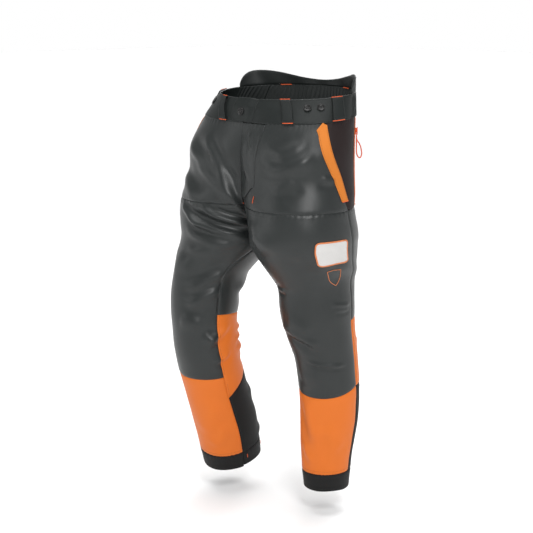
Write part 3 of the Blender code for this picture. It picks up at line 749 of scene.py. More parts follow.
def smooth_join(piece, side, s, u, raised, folds, rows, cols, joins):
    """Gives the outer sheet its true normals at a join, so that the cloth runs on unbroken."""
    row = 0 if "t" in joins else rows - 1
    index = np.arange(row * cols, (row + 1) * cols)
    step = 0.0015
    height = raised[index] if np.ndim(raised) else raised
    shifted = [
        cloth_points(side, s[index] + ds, u[index] + du, height, folds)[0]
        for ds, du in ((step, 0), (-step, 0), (0, step / TURN), (0, -step / TURN))
    ]
    normals = unit(np.cross(shifted[0] - shifted[1], shifted[2] - shifted[3])) * side
    table = dict(zip(index.tolist(), normals.tolist()))
    mesh = piece.data
    outer_faces = (rows - 1) * (cols - 1)
    custom = [(0.0, 0.0, 0.0)] * len(mesh.loops)
    for polygon in mesh.polygons[:outer_faces]:
        for loop in polygon.loop_indices:
            vertex = mesh.loops[loop].vertex_index
            if vertex in table:
                custom[loop] = table[vertex]
    mesh.normals_split_custom_set(custom)


# Stitching --------------------------------------------------------------------------------

STITCH, STITCH_GAP, THREAD = 0.0030, 0.0010, 0.00042
STITCH_LEAD = 0.15  # share of a stitch's room that comes before it
THREADS = {}  # each body's runs of stitches, each their two ends and their normals


def stitch_ends(travelled):
    """Where each stitch starts and ends, spread evenly along a line."""
    count = max(1, int(travelled[-1] / (STITCH + STITCH_GAP)))
    starts = (np.arange(count) + STITCH_LEAD) * travelled[-1] / count
    return starts, starts + STITCH


def sew(body, side, line, lift):
    """Stitches along a line of (s, u) points on the cloth."""
    s, u = fill_in(line, 40)
    travelled = travel(cloth_points(side, s, u, lift)[0])
    (a, normal), (b, _) = (
        cloth_points(side, np.interp(at, travelled, s), np.interp(at, travelled, u), lift)
        for at in stitch_ends(travelled)
    )
    THREADS.setdefault(body, []).append((a, b, normal))


def make_threads():
    """One piece for each body, every stitch a small rounded spindle."""
    for body, runs in THREADS.items():
        a, b, normal = (np.concatenate(parts) for parts in zip(*runs))
        along = unit(b - a)
        across = unit(np.cross(along, normal))
        middle = (a + b) / 2 + normal * THREAD * 0.6
        bulge = [middle + across * THREAD, middle + normal * THREAD * 0.9,
                 middle - across * THREAD, middle - normal * THREAD * 0.9]
        points = np.stack([a - normal * THREAD * 0.3, b - normal * THREAD * 0.3, *bulge], axis=1)
        faces = []
        ring = ((2, 3), (3, 4), (4, 5), (5, 2))
        for base in range(0, len(a) * 6, 6):
            faces += [(base, base + q, base + p) for p, q in ring]
            faces += [(base + 1, base + p, base + q) for p, q in ring]
        name = "stitches_dark_" + body.replace("bend_", "")
        mesh = build_mesh(name, points.reshape(-1, 3), faces, [THREAD_DARK])
        finish_piece(new_object(name, mesh), body)


# A ribbed bar's section, as shares of its width and height.
BAR_SECTION = ((-0.5, -0.25), (-0.42, 0.55), (-0.15, 1.0), (0.15, 1.0), (0.42, 0.55), (0.5, -0.25))


def ribbed_bar(name, body, points, normals, width, height, main, pitch=0.0011):
    """Dense stitching as a bar: a low rounded strip along points, ribbed across its length."""
    points, normals = np.array(points), np.array(normals)
    travelled = travel(points)
    count = max(6, int(travelled[-1] / pitch) * 2)
    at = np.linspace(0, travelled[-1], count + 1)
    centre = between(points, travelled, at)
    up = unit(between(normals, travelled, at))
    across = unit(np.cross(unit(np.gradient(centre, axis=0)), up))
    ridge = 0.80 + 0.20 * (np.arange(count + 1) % 2)
    taper = np.clip(np.minimum(at, travelled[-1] - at) / (0.5 * width), 0.25, 1) ** 0.5
    grid = np.stack([centre + across * (width * x * taper)[:, None]
                     + up * (height * y * ridge)[:, None] for x, y in BAR_SECTION], axis=1)
    cols = len(BAR_SECTION)
    faces = tube_faces(count + 1, cols)
    faces += [tuple(range(cols)), tuple(count * cols + k for k in reversed(range(cols)))]
    uv = np.stack([np.tile(np.arange(cols) * width / cols, count + 1), np.repeat(at, cols)], axis=1)
    mesh = build_mesh(name, grid.reshape(-1, 3), faces, [main], uv)
    made = bmesh.new()
    made.from_mesh(mesh)
    bmesh.ops.recalc_face_normals(made, faces=made.faces)
    made.to_mesh(mesh)
    made.free()
    return finish_piece(new_object(name, mesh), body)


def tack(name, body, points, normals, width, height=0.0009):
    """A bar tack of orange thread."""
    ribbed_bar(name, body, points, normals, width, height, THREAD_ORANGE)


def bartack(name, body, side, start, end, lift, width):
    """A bar tack on the cloth, between two (s, u) places."""
    s, u = (np.linspace(start[k], end[k], 9) for k in (0, 1))
    tack(name, body, *cloth_points(side, s, u, lift), width)


# Turned and moulded pieces ----------------------------------------------------------------


def frame_on(centre, normal, up=Vector((0.0, 0.0, 1.0))):
    """A frame at a place, with z along the normal and y as near to up as it can be."""
    z = normal.normalized()
    y = (up - z * up.dot(z)).normalized()
    return Matrix.Translation(centre) @ Matrix((y.cross(z), y, z)).transposed().to_4x4()


def turned_mesh(name, profile):
    """A closed turned form from (radius, height) points that start and end on the axis."""
    inner, segments = profile[1:-1], 40
    turns = [2 * math.pi * k / segments for k in range(segments)]
    points = [(radius * math.cos(a), radius * math.sin(a), height)
              for radius, height in inner for a in turns]
    faces = tube_faces(len(inner), segments)
    foot = len(points)
    points += [(0, 0, profile[0][1]), (0, 0, profile[-1][1])]
    last = foot - segments
    for k in range(segments):
        faces.append((foot, (k + 1) % segments, k))
        faces.append((foot + 1, last + k, last + (k + 1) % segments))
    mesh = bpy.data.meshes.new(name)
    mesh.from_pydata(points, [], faces)
    return mesh


def add_object(name, mesh, matrix, material, body, nodes):
    """A piece from a finished mesh, with its edges kept sharp."""
    piece = new_object(name, mesh)
    mesh.materials.clear()
    mesh.materials.append(material)
    mesh.transform(matrix)
    finish_piece(piece, body, nodes)
    mesh.set_sharp_from_angle(angle=math.radians(38))
    return piece


def moulded_block(name, boxes, bevel):
    """Rounded blocks in one mesh, each (centre, size)."""
    made = bmesh.new()
    for centre, size in boxes:
        part = bmesh.new()
        bmesh.ops.create_cube(part, size=1.0,
                              matrix=Matrix.Translation(centre) @ Matrix.Diagonal((*size, 1.0)))
        bmesh.ops.bevel(part, geom=list(part.edges), offset=min(bevel, min(size) * 0.4),
                        segments=3, profile=0.5, affect="EDGES", clamp_overlap=True)
        kept = freed_mesh(part, "part")
        made.from_mesh(kept)
        bpy.data.meshes.remove(kept)
    return freed_mesh(made, name)


def cut(mesh, holes, radius, depth):
    """The mesh with round upright holes cut in it at these centres."""
    body = new_object("cut_body", mesh)
    made = bmesh.new()
    for centre in holes:
        bmesh.ops.create_cone(made, cap_ends=True, segments=20, radius1=radius, radius2=radius,
                              depth=depth, matrix=Matrix.Translation(centre))
    tool = new_object("cut_tools", freed_mesh(made, "cut_tools"))
    modifier = body.modifiers.new("cut", "BOOLEAN")
    modifier.operation = "DIFFERENCE"
    modifier.object = tool
    graph = bpy.context.evaluated_depsgraph_get()
    result = bpy.data.meshes.new_from_object(body.evaluated_get(graph))
    bpy.data.objects.remove(body)
    bpy.data.objects.remove(tool)
    return result


# The waist --------------------------------------------------------------------------------

TAB_END, TAB_HINGE, TAB_SHORT = -0.115, 0.112, 0.002  # as turns from the centre front
TAB_CLOTH, TAB_ROOM = 0.0030, 0.0034  # the tab's thickness, and the room under it
BAND_SPLIT = 0.48
BUTTON_S, BUTTON_U = 0.017, -0.017
HOLE = 0.0021  # how far a button's holes lie from its middle, each way
BRACE_S = 0.007
BRACE_U = {"outer": -0.302, "inner": -0.427, "back": 0.860}
FLAP_EDGE, FLAP_PEAK = 0.12, 0.34
FLAP_HIGH, FLAP_LOW = 0.042, 0.015
LOOP_U = {
    "front": {LEFT: -0.591, RIGHT: -0.732},
    "side": {LEFT: -0.110, RIGHT: -0.110},
    "back": {LEFT: 0.640, RIGHT: 0.640},
}
LOOP_LEAN = {  # turns per metre of drop
    "front": {LEFT: 1.93, RIGHT: -1.98},
    "side": {LEFT: 1.10, RIGHT: 1.10},
    "back": {LEFT: 0.0, RIGHT: 0.0},
}
LOOP_WIDTH = {"front": 0.026, "side": 0.030, "back": 0.026}
LOOP_CLOTH, LOOP_ROOM = 0.0016, 0.0052
RUCHE_HEIGHT, RUCHE_PITCH = 0.0013, 0.0115
BAND_FACE = BAND_LIFT + 0.0004  # thread lies this far out on the waistband


def flap_top(t):
    """Height of the raised back: a low middle between two lobes with round corners."""
    u = 1 - np.abs(t - 2)
    inner = np.cos(math.pi / 2 * np.clip((u - FLAP_PEAK) / (1 - FLAP_PEAK), 0, 1)) ** 2
    corner = np.clip((FLAP_PEAK - u) / (FLAP_PEAK - FLAP_EDGE), 0, 1)
    height = np.where(
        u > FLAP_PEAK,
        FLAP_LOW + (FLAP_HIGH - FLAP_LOW) * inner,
        FLAP_HIGH * np.sqrt(np.clip(1 - corner**2.4, 0.02, 1)),
    )
    return BAND_TOP - height


def ruche(s, t):
    """Upright gathers where elastic draws the band in, from behind the side loops to the back."""
    u = 1 - np.abs(np.abs(t) - 2)
    along = t * TURN / RUCHE_PITCH
    wave = np.sin(2 * math.pi * along + 1.3 * np.sin(along * 0.71 + s * 60))
    reach = smooth((u - 0.10) / 0.06) * (1 - 0.55 * smooth((u - 0.80) / 0.15))
    flat = smooth((s - BAND_TOP) / 0.012) * 0.7 + 0.3
    return RUCHE_HEIGHT * wave * reach * flat


def band_wave(s, t):
    return 0.0009 * np.sin(t * 9.0 + s * 30) + ruche(s, t)


def flap_wave(s, t):
    lean = np.clip((BAND_TOP - s) / FLAP_HIGH, 0, 1)
    return 0.0030 * lean * np.sin(t * 7.3 + 0.6) + 0.0010 * np.sin(t * 23 + s * 70)


def tab_lift(_, t):
    return BAND_LIFT + smooth((TAB_HINGE - t) / (TAB_HINGE - 0.03)) * (TAB_ROOM + TAB_CLOTH)


def make_waistband():
    """The band, its raised back and its tab, with all their stitches."""
    slot = "waistband_fabric"
    band, split = (BAND_TOP, BAND_FOOT), 1 + BAND_SPLIT
    for name, node, edges, ends, shape in (
        ("waistband_cloth_left", "waistband_front_left", band, (TAB_HINGE, split), band_wave),
        ("waistband_cloth_right", "waistband_front_right", band, (-split, 0.02), band_wave),
        ("waistband_cloth_back", "waistband_back", band, (split, 3 - BAND_SPLIT), band_wave),
        ("kidney_flap_cloth", "kidney_flap", (flap_top, BAND_TOP), (1 + FLAP_EDGE, 3 - FLAP_EDGE),
         flap_wave),
    ):
        cloth(name, "pelvis", 0, *edges, *ends, BAND, slot, node, thick=BAND_CLOTH, lift=BAND_LIFT,
              seams="", folds=0.0, shape=shape, inner=BAND, step=0.003)
    middle, reach = (BAND_TOP + BAND_FOOT) / 2, (BAND_FOOT - BAND_TOP) / 2
    cloth("waist_tab_cloth", "waist_tab", 0, BAND_TOP + 0.001, BAND_FOOT - 0.001,
          lambda s: TAB_END + 0.030 * np.abs((s - middle) / reach) ** 5, TAB_HINGE - TAB_SHORT,
          BAND, slot, "waist_tab", lift=tab_lift, thick=TAB_CLOTH, seams="", folds=0.0, step=0.003)
    for s in (BAND_TOP + 0.0035, BAND_FOOT - 0.0035):
        for ends in ((TAB_HINGE + 0.01, 1.97), (2.03, 4 + TAB_END - 0.01)):
            sew_band("pelvis", [(s, t) for t in np.linspace(*ends, 60)], BAND_FACE)
    rows = (BAND_TOP + 0.0045, BAND_FOOT - 0.0045)
    turns = np.linspace(TAB_END + 0.02, TAB_HINGE - 0.01, 12)
    for line in (*([(s, t) for t in turns] for s in rows), [(s, TAB_END + 0.016) for s in rows]):
        sew_band("waist_tab", line, lambda s, t: tab_lift(s, t) + 0.0004)
    turns = np.linspace(1 + FLAP_EDGE + 0.03, 3 - FLAP_EDGE - 0.03, 90)
    edge = [(float(flap_top(np.array([t]))[0]) + 0.0055, t) for t in turns]
    sew_band("pelvis", edge, lambda s, t: BAND_FACE + flap_wave(s, t))
    inside = BAND_LIFT - BAND_CLOTH - 0.0004
    sew_band("pelvis", edge, lambda s, t: inside + flap_wave(s, t))
    for t in (1.996, 2.004):
        sew_band("pelvis", [(BAND_TOP - FLAP_LOW + 0.004, t), (BAND_FOOT - 0.004, t)], inside)
    for label, t in (("left", 1.64), ("right", 2.36)):
        s = BAND_TOP + 0.001
        points, normals = skin_frame(0, np.full(9, s), np.linspace(t - 0.055, t + 0.055, 9))
        height = inside - 0.0002 + flap_wave(s, t)
        tack(f"bartack_inside_{label}", "pelvis", points + normals * height, -normals, 0.0026)


def sew_band(body, line, lift):
    """Stitches along the waistband, whose lift may change from place to place."""
    s, t = fill_in(line, 30)
    points, normals = skin_frame(0, s, t)
    height = lift(s, t) if callable(lift) else lift + band_wave(s, t)
    points = points + normals * np.broadcast_to(height, s.shape)[:, None]
    travelled = travel(points)
    a, b = (between(points, travelled, at) for at in stitch_ends(travelled))
    facing = unit(between(normals, travelled, stitch_ends(travelled)[0]))
    THREADS.setdefault(body, []).append((a, b, facing))


def loop_lift(s, _):
    v = (s - BAND_TOP) / (BAND_FOOT - BAND_TOP)
    room = LOOP_ROOM * smooth(np.minimum(v, 1 - v) / 0.10)
    return BAND_LIFT + 0.0006 + LOOP_CLOTH + room


def loop_edge(place, side, reach):
    """A line along a belt loop, which leans as the loop does."""
    middle, lean = LOOP_U[place][side], LOOP_LEAN[place][side]
    return lambda s: middle + reach + lean * (s - (BAND_TOP + BAND_FOOT) / 2)


def make_belt_loops():
    """Six loops, each with its stitches and two bar tacks."""
    for place, turns in LOOP_U.items():
        for side, label in SIDES:
            before, after = skin(side, 0.01, turns[side] + np.array([-0.01, 0.01]))
            half = LOOP_WIDTH[place] / 2 * 0.02 / np.linalg.norm(after - before)
            cloth(f"belt_loop_cloth_{place}_{label}", "pelvis", side, BAND_TOP, BAND_FOOT,
                  loop_edge(place, side, -half), loop_edge(place, side, half), BAND,
                  "waistband_fabric", f"belt_loop_{place}_{label}", lift=loop_lift,
                  thick=LOOP_CLOTH, seams="", folds=0.0, step=0.002)
            drops = np.linspace(BAND_TOP + 0.002, BAND_FOOT - 0.002, 20)
            for inset in (-half * 0.80, half * 0.80):
                sew_loop(side, drops, loop_edge(place, side, inset)(drops))
            for end, s in (("top", BAND_TOP + 0.0018), ("foot", BAND_FOOT - 0.0018)):
                reach = half * 1.06
                u = loop_edge(place, side, 0)(s) + np.linspace(-reach, reach, 9)
                points, normals = skin_frame(side, s, u)
                height = float(loop_lift(s, u)) + 0.0003
                tack(f"bartack_{place}_{end}_{label}", "pelvis", points + normals * height, normals,
                     0.0025, 0.0010)


def sew_loop(side, s, u):
    """Stitches along a belt loop, one in each gap between its places."""
    points, normals = skin_frame(side, s, u)
    points = points + normals * (loop_lift(s, u) + 0.0002)[:, None]
    middle = (points[:-1] + points[1:]) / 2
    gap = (points[1:] - points[:-1]) * 0.38
    THREADS.setdefault("pelvis", []).append((middle - gap, middle + gap, normals[:-1]))


def brace_button_mesh():
    """A four-hole button: a raised round rim, a dished middle and real holes."""
    profile = [(0, 0), (0.0086, 0), (0.0096, 0.0005), (0.0100, 0.0014), (0.0099, 0.0024),
               (0.0093, 0.0031), (0.0084, 0.0032), (0.0076, 0.0028), (0.0068, 0.0021),
               (0.0050, 0.0018), (0.0025, 0.0018), (0, 0.0018)]
    holes = [Vector((HOLE * x, HOLE * y, 0.001)) for x in (-1, 1) for y in (-1, 1)]
    return cut(turned_mesh("brace_button", profile), holes, 0.00095, 0.006)


def make_buttons():
    """The brace buttons with their thread, the snap on the tab and the stud beneath it."""
    for side, label in SIDES:
        for place, u in BRACE_U.items():
            centre, normal = spot(side, BRACE_S, u, BAND_LIFT + 0.0006)
            node = f"brace_button_{place}_{label}"
            turned = frame_on(centre, normal)
            piece = add_object(f"{node}_moulded", brace_button_mesh(), turned, BUTTON_PLASTIC,
                               "pelvis", node)
            piece.data.name = f"{node}_mesh"
            for k, slant in enumerate((1, -1)):
                ends = [turned @ Vector((HOLE * e, HOLE * slant * e, 0.0020)) for e in (-1, 0, 1)]
                ribbed_bar(f"{node}_thread_{k}", "pelvis", ends, [normal] * 3, 0.0010, 0.0005,
                           THREAD_DARK, 0.0006)
    face = BAND_LIFT + TAB_ROOM + TAB_CLOTH
    centre, normal = spot(0, BUTTON_S, BUTTON_U, face + 0.0003)
    profile = [(0, 0), (0.0090, 0), (0.0098, 0.0005), (0.0100, 0.0013), (0.0096, 0.0023),
               (0.0087, 0.0029), (0.0077, 0.0030), (0.0068, 0.0024), (0.0062, 0.0012),
               (0.0050, 0.0010), (0.0045, 0.0013), (0.0041, 0.0023), (0.0032, 0.0027),
               (0.0014, 0.0025), (0.0009, 0.0016), (0, 0.0016)]
    add_object("waist_button_moulded", turned_mesh("waist_button", profile),
               frame_on(centre, normal), BUTTON_PLASTIC, "waist_tab", "waist_button")
    centre, normal = spot(0, BUTTON_S, BUTTON_U, BAND_LIFT + 0.0010)
    profile = [(0, 0), (0.0056, 0), (0.0060, 0.0003), (0.0058, 0.0008), (0.0040, 0.0009),
               (0.0030, 0.0013), (0, 0.0014)]
    add_object("waist_stud_pressed", turned_mesh("waist_stud", profile), frame_on(centre, normal),
               DARK_METAL, "pelvis", "waist_stud")


# The hips ---------------------------------------------------------------------------------

FLY_TOP = 0.044  # the flap starts 4 mm higher than its solid, just under the band
FLY_CROSS = -1.012  # the flap's edge runs just past the centre
FLY_J_DROP, FLY_J_TURNS = 0.034, 0.16  # its curved foot's rise and width
SHIELD_DEPTH, SHIELD_RISE = -0.0215, 0.0193  # the fly's inner cloth stands clear of the slider
TRIM_FOOT = 0.234
HIP_TOP = YOKE_TOP - 0.012  # the panels run up behind the waistband


def pocket_edge(s):
    return POCKET_START + POCKET_SLOPE * (s - YOKE_TOP)


def trim_edge(s):
    return pocket_edge(s) + POCKET_WIDTH


def pocket_middle(s):
    return pocket_edge(s) + POCKET_WIDTH / 2


def fly_foot(u):
    """The flap's curved foot: low at the centre, rising to the stitch line."""
    return FLY_FOOT - FLY_J_DROP * smooth((u - (FLY_STITCH - FLY_J_TURNS)) / FLY_J_TURNS) ** 1.5


def fly_fold():
    """The middle of the fly's stitch line, and the direction across it towards the centre."""
    top, foot = (cloth_spot(LEFT, s, FLY_STITCH)[0] for s in (FLY_TOP, FLY_FOOT))
    middle, normal = cloth_spot(LEFT, (FLY_TOP + FLY_FOOT) / 2, FLY_STITCH)
    across = normal.cross((foot - top).normalized())
    return middle, across.normalized() * (-1 if across.x > 0 else 1)


def pocket_mouth(s, u):
    """The side panel lies deeper where the hand goes in, behind the trim."""
    away = (u - pocket_middle(s)) * TURN
    return -0.0030 * (1 - smooth(away / 0.022))


def trim_top(u):
    """The trim's folded tip: its highest point lies between its edges."""
    inner, outer = np.clip((-0.24 - u) / 0.045, 0, 1), np.clip((u + 0.24) / 0.04, 0, 1)
    return 0.0415 + 0.018 * inner + 0.006 * outer


def flap_rise(_, u):
    return 0.0005 + 0.0013 * smooth((FLY_STITCH - u) / 0.12)


def make_hips():
    """The hip panels and the fly. The base and the shield behind the flap have no solid."""
    for side, label in SIDES:
        inner = FLY_STITCH if side == LEFT else -1.0
        tall = (HIP_TOP, THIGH_SEAM)
        cloth(f"hip_front_cloth_{label}", "pelvis", side, *tall, inner, pocket_middle, CHARCOAL,
              "charcoal_fabric", f"hip_front_{label}", seams="tf", inner=LINING)
        cloth(f"side_panel_cloth_{label}", "pelvis", side, *tall, pocket_middle, VENT_EDGES[0],
              SIDE, "black_stretch", f"side_panel_{label}", seams="tfr", inner=LINING,
              shape=pocket_mouth, step=0.003)
        cloth(f"pocket_trim_tape_{label}", "pelvis", side, trim_top, TRIM_FOOT, pocket_edge,
              trim_edge, TRIM, "orange_trim", f"pocket_trim_{label}", lift=0.0020, thick=0.0014,
              seams="", step=0.0025)
        cloth(f"vent_tape_cloth_{label}", "pelvis", side, *tall, *VENT_EDGES, ORANGE, "orange_trim",
              f"vent_zip_tape_{label}", seams="tf", inner=LINING, lift=0.0004, step=0.003)
        cloth(f"seat_cloth_{label}", "pelvis", side, *tall, VENT_EDGES[1], 1.0, CHARCOAL,
              "charcoal_fabric", f"seat_{label}", seams="tflr", inner=LINING)
        cloth(f"pocket_bag_cloth_{label}", "pelvis", side, YOKE_TOP + 0.01, THIGH_SEAM - 0.012,
              -0.42, 0.16, LINING, "black_stretch", f"pocket_bag_{label}", lift=-0.0066, seams="",
              thick=0.0012, folds=0.6, step=0.006)
        sew_hips(side, label)
    cloth("fly_flap_cloth", "bend_fly_left", LEFT, FLY_TOP, fly_foot, FLY_CROSS, FLY_STITCH,
          CHARCOAL, "charcoal_fabric", "fly_flap", seams="r", inner=LINING, lift=0.0,
          shape=flap_rise, step=0.003, cross=True)
    cloth("fly_base_cloth", "pelvis", LEFT, lambda u: fly_foot(u) - 0.016, THIGH_SEAM, -1.0,
          FLY_STITCH, CHARCOAL, "charcoal_fabric", seams="f", inner=LINING, lift=-0.0012,
          step=0.003)
    cloth("fly_shield_cloth", "pelvis", LEFT, HIP_TOP + 0.003, FLY_FOOT - 0.004, -1.0,
          FLY_STITCH + 0.03, LINING, "charcoal_fabric", seams="", folds=0.0,
          lift=lambda s, u: SHIELD_DEPTH + SHIELD_RISE * smooth((u - FLY_STITCH + 0.07) / 0.08),
          step=0.005)


def sew_hips(side, label):
    """The stitch lines and bar tacks of one side's hip."""
    hips = (
        *((edge, nudge, 0.0022, YOKE_TOP + 0.014, TRIM_FOOT - 0.003, 24)
          for edge, nudge in ((pocket_edge, 0.010), (trim_edge, -0.010))),
        *((turn, 0.0, 0.0002, YOKE_TOP + 0.004, THIGH_SEAM - 0.004, 20)
          for turn in (VENT_EDGES[0] - 0.014, VENT_EDGES[1] + 0.014)),
        *((turn, 0.0, 0.0002, YOKE_TOP + 0.006, THIGH_SEAM - 0.003, 24)
          for turn in (1 - 0.018, 1 - 0.040)),
    )
    for edge, nudge, lift, top, foot, count in hips:
        drops = np.linspace(top, foot, count)
        sew("pelvis", side, list(zip(drops, call(edge, drops) + nudge)), lift)
    for drop, lift in ((0.0045, -0.0008), (0.0105, 0.0)):
        line = [(THIGH_SEAM + drop, u) for u in np.linspace(-0.99, 0.98, 60)]
        sew(f"bend_hip_{label}", side, line, lift)
    if side == LEFT:
        line = [(s, FLY_STITCH + 0.006) for s in np.linspace(YOKE_TOP + 0.003, 0.205, 20)]
        sew("pelvis", side, line, 0.0003)
        turns = np.linspace(FLY_STITCH + 0.006, -0.97, 14)
        sew("pelvis", side, list(zip(fly_foot(turns) + 0.004, turns)), 0.0003)
        bartack("bartack_fly", "pelvis", side, (0.222, FLY_STITCH + 0.030),
                (0.240, FLY_STITCH + 0.030), 0.0008, 0.0022)
        bartack("bartack_fly_foot", "pelvis", side, (0.2505, -0.955), (0.2505, -0.905), 0.0008,
                0.0022)
    for place, s, first, last, lift in (
        ("pocket", TRIM_FOOT, pocket_edge(TRIM_FOOT), trim_edge(TRIM_FOOT), 0.0024),
        ("vent", THIGH_SEAM - 0.006, *VENT_EDGES, 0.0012),
    ):
        bartack(f"bartack_{place}_{label}", "pelvis", side, (s, first + 0.004), (s, last - 0.004),
                lift, 0.0024)


# The zips ---------------------------------------------------------------------------------

VENT_U = 0.335
VENT_TOP, VENT_FOOT = 0.078, 0.232
VENT_TRAVEL_GAP = 0.0010  # the slider clears the bulge of the skin by this much
VENT_SLIDER = (0.0110, 0.0200, 0.0060)
CORD_RADIUS = 0.0015
CORD_DROP, CORD_SPREAD = 0.058, 0.016
CORD_TWIST = math.radians(50)  # the loop hangs turned this far off the cloth
CORD_STRAIGHT = 0.008  # and starts to turn this far down
CORD_POINTS = 24
CORD_GAP = 0.0008
ZIP_TOP, ZIP_FOOT = 0.070, 0.205
ZIP_DEPTH, ZIP_OFF_CENTRE = 0.0090, 0.010
ZIP_GAP, ZIP_SPARE = 0.0003, 0.014
FLY_SLIDER, FLY_PULL = (0.008, 0.012, 0.0030), (0.006, 0.026, 0.0014)


def vent_line(side):
    return clear_line(side, VENT_TOP, VENT_FOOT, VENT_U, VENT_TRAVEL_GAP)


def turn_side(angle):
    return math.copysign(min(1.0, abs(math.sin(angle / 2 + math.pi / 2)) * 2.2), math.pi - angle)


def cord_route(side):
    """Points of the puller's cord: out of the slider, down, round a small bend and back."""
    top, foot, normal = vent_line(side)
    down = (foot - top).normalized()
    across = down.cross(normal)
    start = top + down * (VENT_SLIDER[1] / 2 + CORD_GAP) + normal * (VENT_SLIDER[2] / 2)
    points = []
    for k in range(CORD_POINTS + 1):
        angle = 2 * math.pi * k / CORD_POINTS
        drop = CORD_DROP * (1 - math.cos(angle)) / 2
        width = 0.0022 + CORD_SPREAD / 2 * (drop / CORD_DROP) ** 0.8
        swing = width * math.cos(angle / 2) if k in (0, CORD_POINTS) else width * turn_side(angle)
        twist = CORD_TWIST * float(smooth(np.array((drop - CORD_STRAIGHT) / 0.020)))
        outward = (width - side * swing) * math.sin(twist)
        points.append(start + down * drop + across * swing * math.cos(twist) + normal * outward)
    return points


def make_vent_zips():
    """Each vent's teeth, its slider and the cord on it."""
    for side, label in SIDES:
        drops = np.linspace(YOKE_TOP + 0.004, THIGH_SEAM - 0.010, 60)
        points, normals = cloth_points(side, drops, np.full_like(drops, VENT_U), 0.0006)
        ribbed_bar(f"vent_zip_teeth_{label}", "pelvis", points, normals, 0.0052, 0.0007,
                   ORANGE_PLASTIC, 0.0016)
        top, foot, normal = vent_line(side)
        width, length, _ = VENT_SLIDER
        boxes = (
            ((0, 0, 0.0009), (width, length * 0.80, 0.0017)),
            ((0, 0.0015, 0.0031), (width * 0.78, length * 0.62, 0.0030)),
            ((0, 0, 0.0049), (width * 0.60, length * 0.96, 0.0022)),
            ((0, -length * 0.40, 0.0030), (width * 0.86, length * 0.19, 0.0058)),
        )
        mesh = moulded_block(f"vent_slider_mesh_{label}", boxes, 0.0011)
        turned = frame_on(top, normal, top - foot)
        add_object(f"vent_slider_moulded_{label}", mesh, turned, ORANGE_PLASTIC,
                   f"vent_slider_{label}", f"vent_zip_slider_{label}")
        route = cord_route(side)
        curve = bpy.data.curves.new(f"vent_cord_{label}", "CURVE")
        curve.dimensions = "3D"
        curve.bevel_depth = CORD_RADIUS
        curve.bevel_resolution = 4
        curve.use_fill_caps = True
        curve.materials.append(CORD)
        line = curve.splines.new("POLY")
        line.points.add(len(route) - 1)
        for point, at in zip(line.points, route):
            point.co = (*at, 1.0)
        line.use_smooth = True
        piece = new_object(f"vent_cord_{label}", curve)
        finish_piece(piece, f"vent_pull_{label}", f"vent_pull_cord_{label}")
        length = sum((b - a).length for a, b in zip(route, route[1:]))


def make_fly_zip():
    """The closed fly zip behind the flap: tape, teeth, slider and pull."""
    ends = []
    for s in (ZIP_TOP, ZIP_FOOT):
        on_skin = Vector(skin(LEFT, np.array([s]), np.array([-1.0]))[0])
        ends.append(on_skin + Vector((ZIP_OFF_CENTRE, ZIP_DEPTH, 0.0)))
    top, foot = ends
    down = (foot - top).normalized()
    normal = Vector((0, -1, 0))
    normal = (normal - down * normal.dot(down)).normalized()
    middle = (top + foot) / 2
    size = (0.030, (foot - top).length + 2 * ZIP_SPARE, 0.0012)
    tape = moulded_block("fly_tape_mesh", (((0, 0, -0.0006), size),), 0.0004)
    add_object("fly_tape_woven", tape, frame_on(middle, normal, -down), BLACK, "pelvis",
               "fly_zip_tape")
    at = np.linspace(0, 1, 60)[:, None]
    route = np.array(top)[None] * (1 - at) + np.array(foot)[None] * at + np.array(normal) * 0.0001
    ribbed_bar("fly_zip_teeth", "pelvis", route, np.tile(np.array(normal), (60, 1)), 0.0044,
               0.00018, DARK_METAL, 0.0018)
    centre = top + normal * (ZIP_GAP + FLY_SLIDER[2] / 2)
    width, length, height = FLY_SLIDER
    boxes = (((0, 0, -0.0010), (width, length, 0.0009)),
             ((0, 0.001, 0), (width * 0.4, length * 0.6, height)),
             ((0, 0, 0.0010), (width * 0.9, length * 0.9, 0.0009)))
    add_object("fly_slider_cast", moulded_block("fly_slider_mesh", boxes, 0.0003),
               frame_on(centre, normal, -down), DARK_METAL, "fly_slider",
               "fly_zip_slider")
    reach = FLY_SLIDER[1] / 2 + ZIP_GAP + FLY_PULL[1] / 2
    pull = moulded_block("fly_pull_mesh", (((0, 0, 0), FLY_PULL),), 0.0005)
    pull = cut(pull, [Vector((0, -0.0095, 0))], 0.0014, 0.01)
    add_object("fly_pull_cast", pull, frame_on(centre + down * reach, normal, -down), DARK_METAL,
               "fly_slider", "fly_zip_pull")


# The legs ---------------------------------------------------------------------------------

BADGE_S, BADGE_U = (0.328, 0.388), -0.070
SHIELD_S, SHIELD_U, SHIELD_HALF = (0.405, 0.451), -0.081, 0.050
QUILT, QUILT_DIP = 0.045, 0.0022  # spacing and depth of the pads' quilting lines


def front_edge(s):
    """The front piece starts at the centre line, and below the crotch at the inseam."""
    return -1 + (1 + INSEAM) * smooth((s - CROTCH) / 0.09)


def back_edge(s):
    return front_edge(s) + 2


def gaiter_top(side):
    edge, dip = GAITER_TOP[side]
    middle, reach = (INSEAM + OUTSEAM) / 2, (OUTSEAM - INSEAM) / 2
    return lambda u: edge + dip * (1 - ((u - middle) / reach) ** 2)


def calf_top(side):
    edge = GAITER_TOP[side][0]
    reach = INSEAM + 2 - OUTSEAM
    return lambda u: edge + CALF_TOP_DROP * np.clip((u - OUTSEAM) / reach, 0, 1) ** 2


def hem_foot(side):
    """The hem's lower edge, a little uneven."""
    return lambda u: HEM - 0.002 + 0.0016 * np.sin(u * 5.1 + side) + 0.0012 * np.sin(u * 11.0)


def badge_half(s):
    middle, reach = (BADGE_S[0] + BADGE_S[1]) / 2, (BADGE_S[1] - BADGE_S[0]) / 2
    return 0.112 - 0.012 * np.clip(np.abs(s - middle) / reach, 0, 1) ** 6


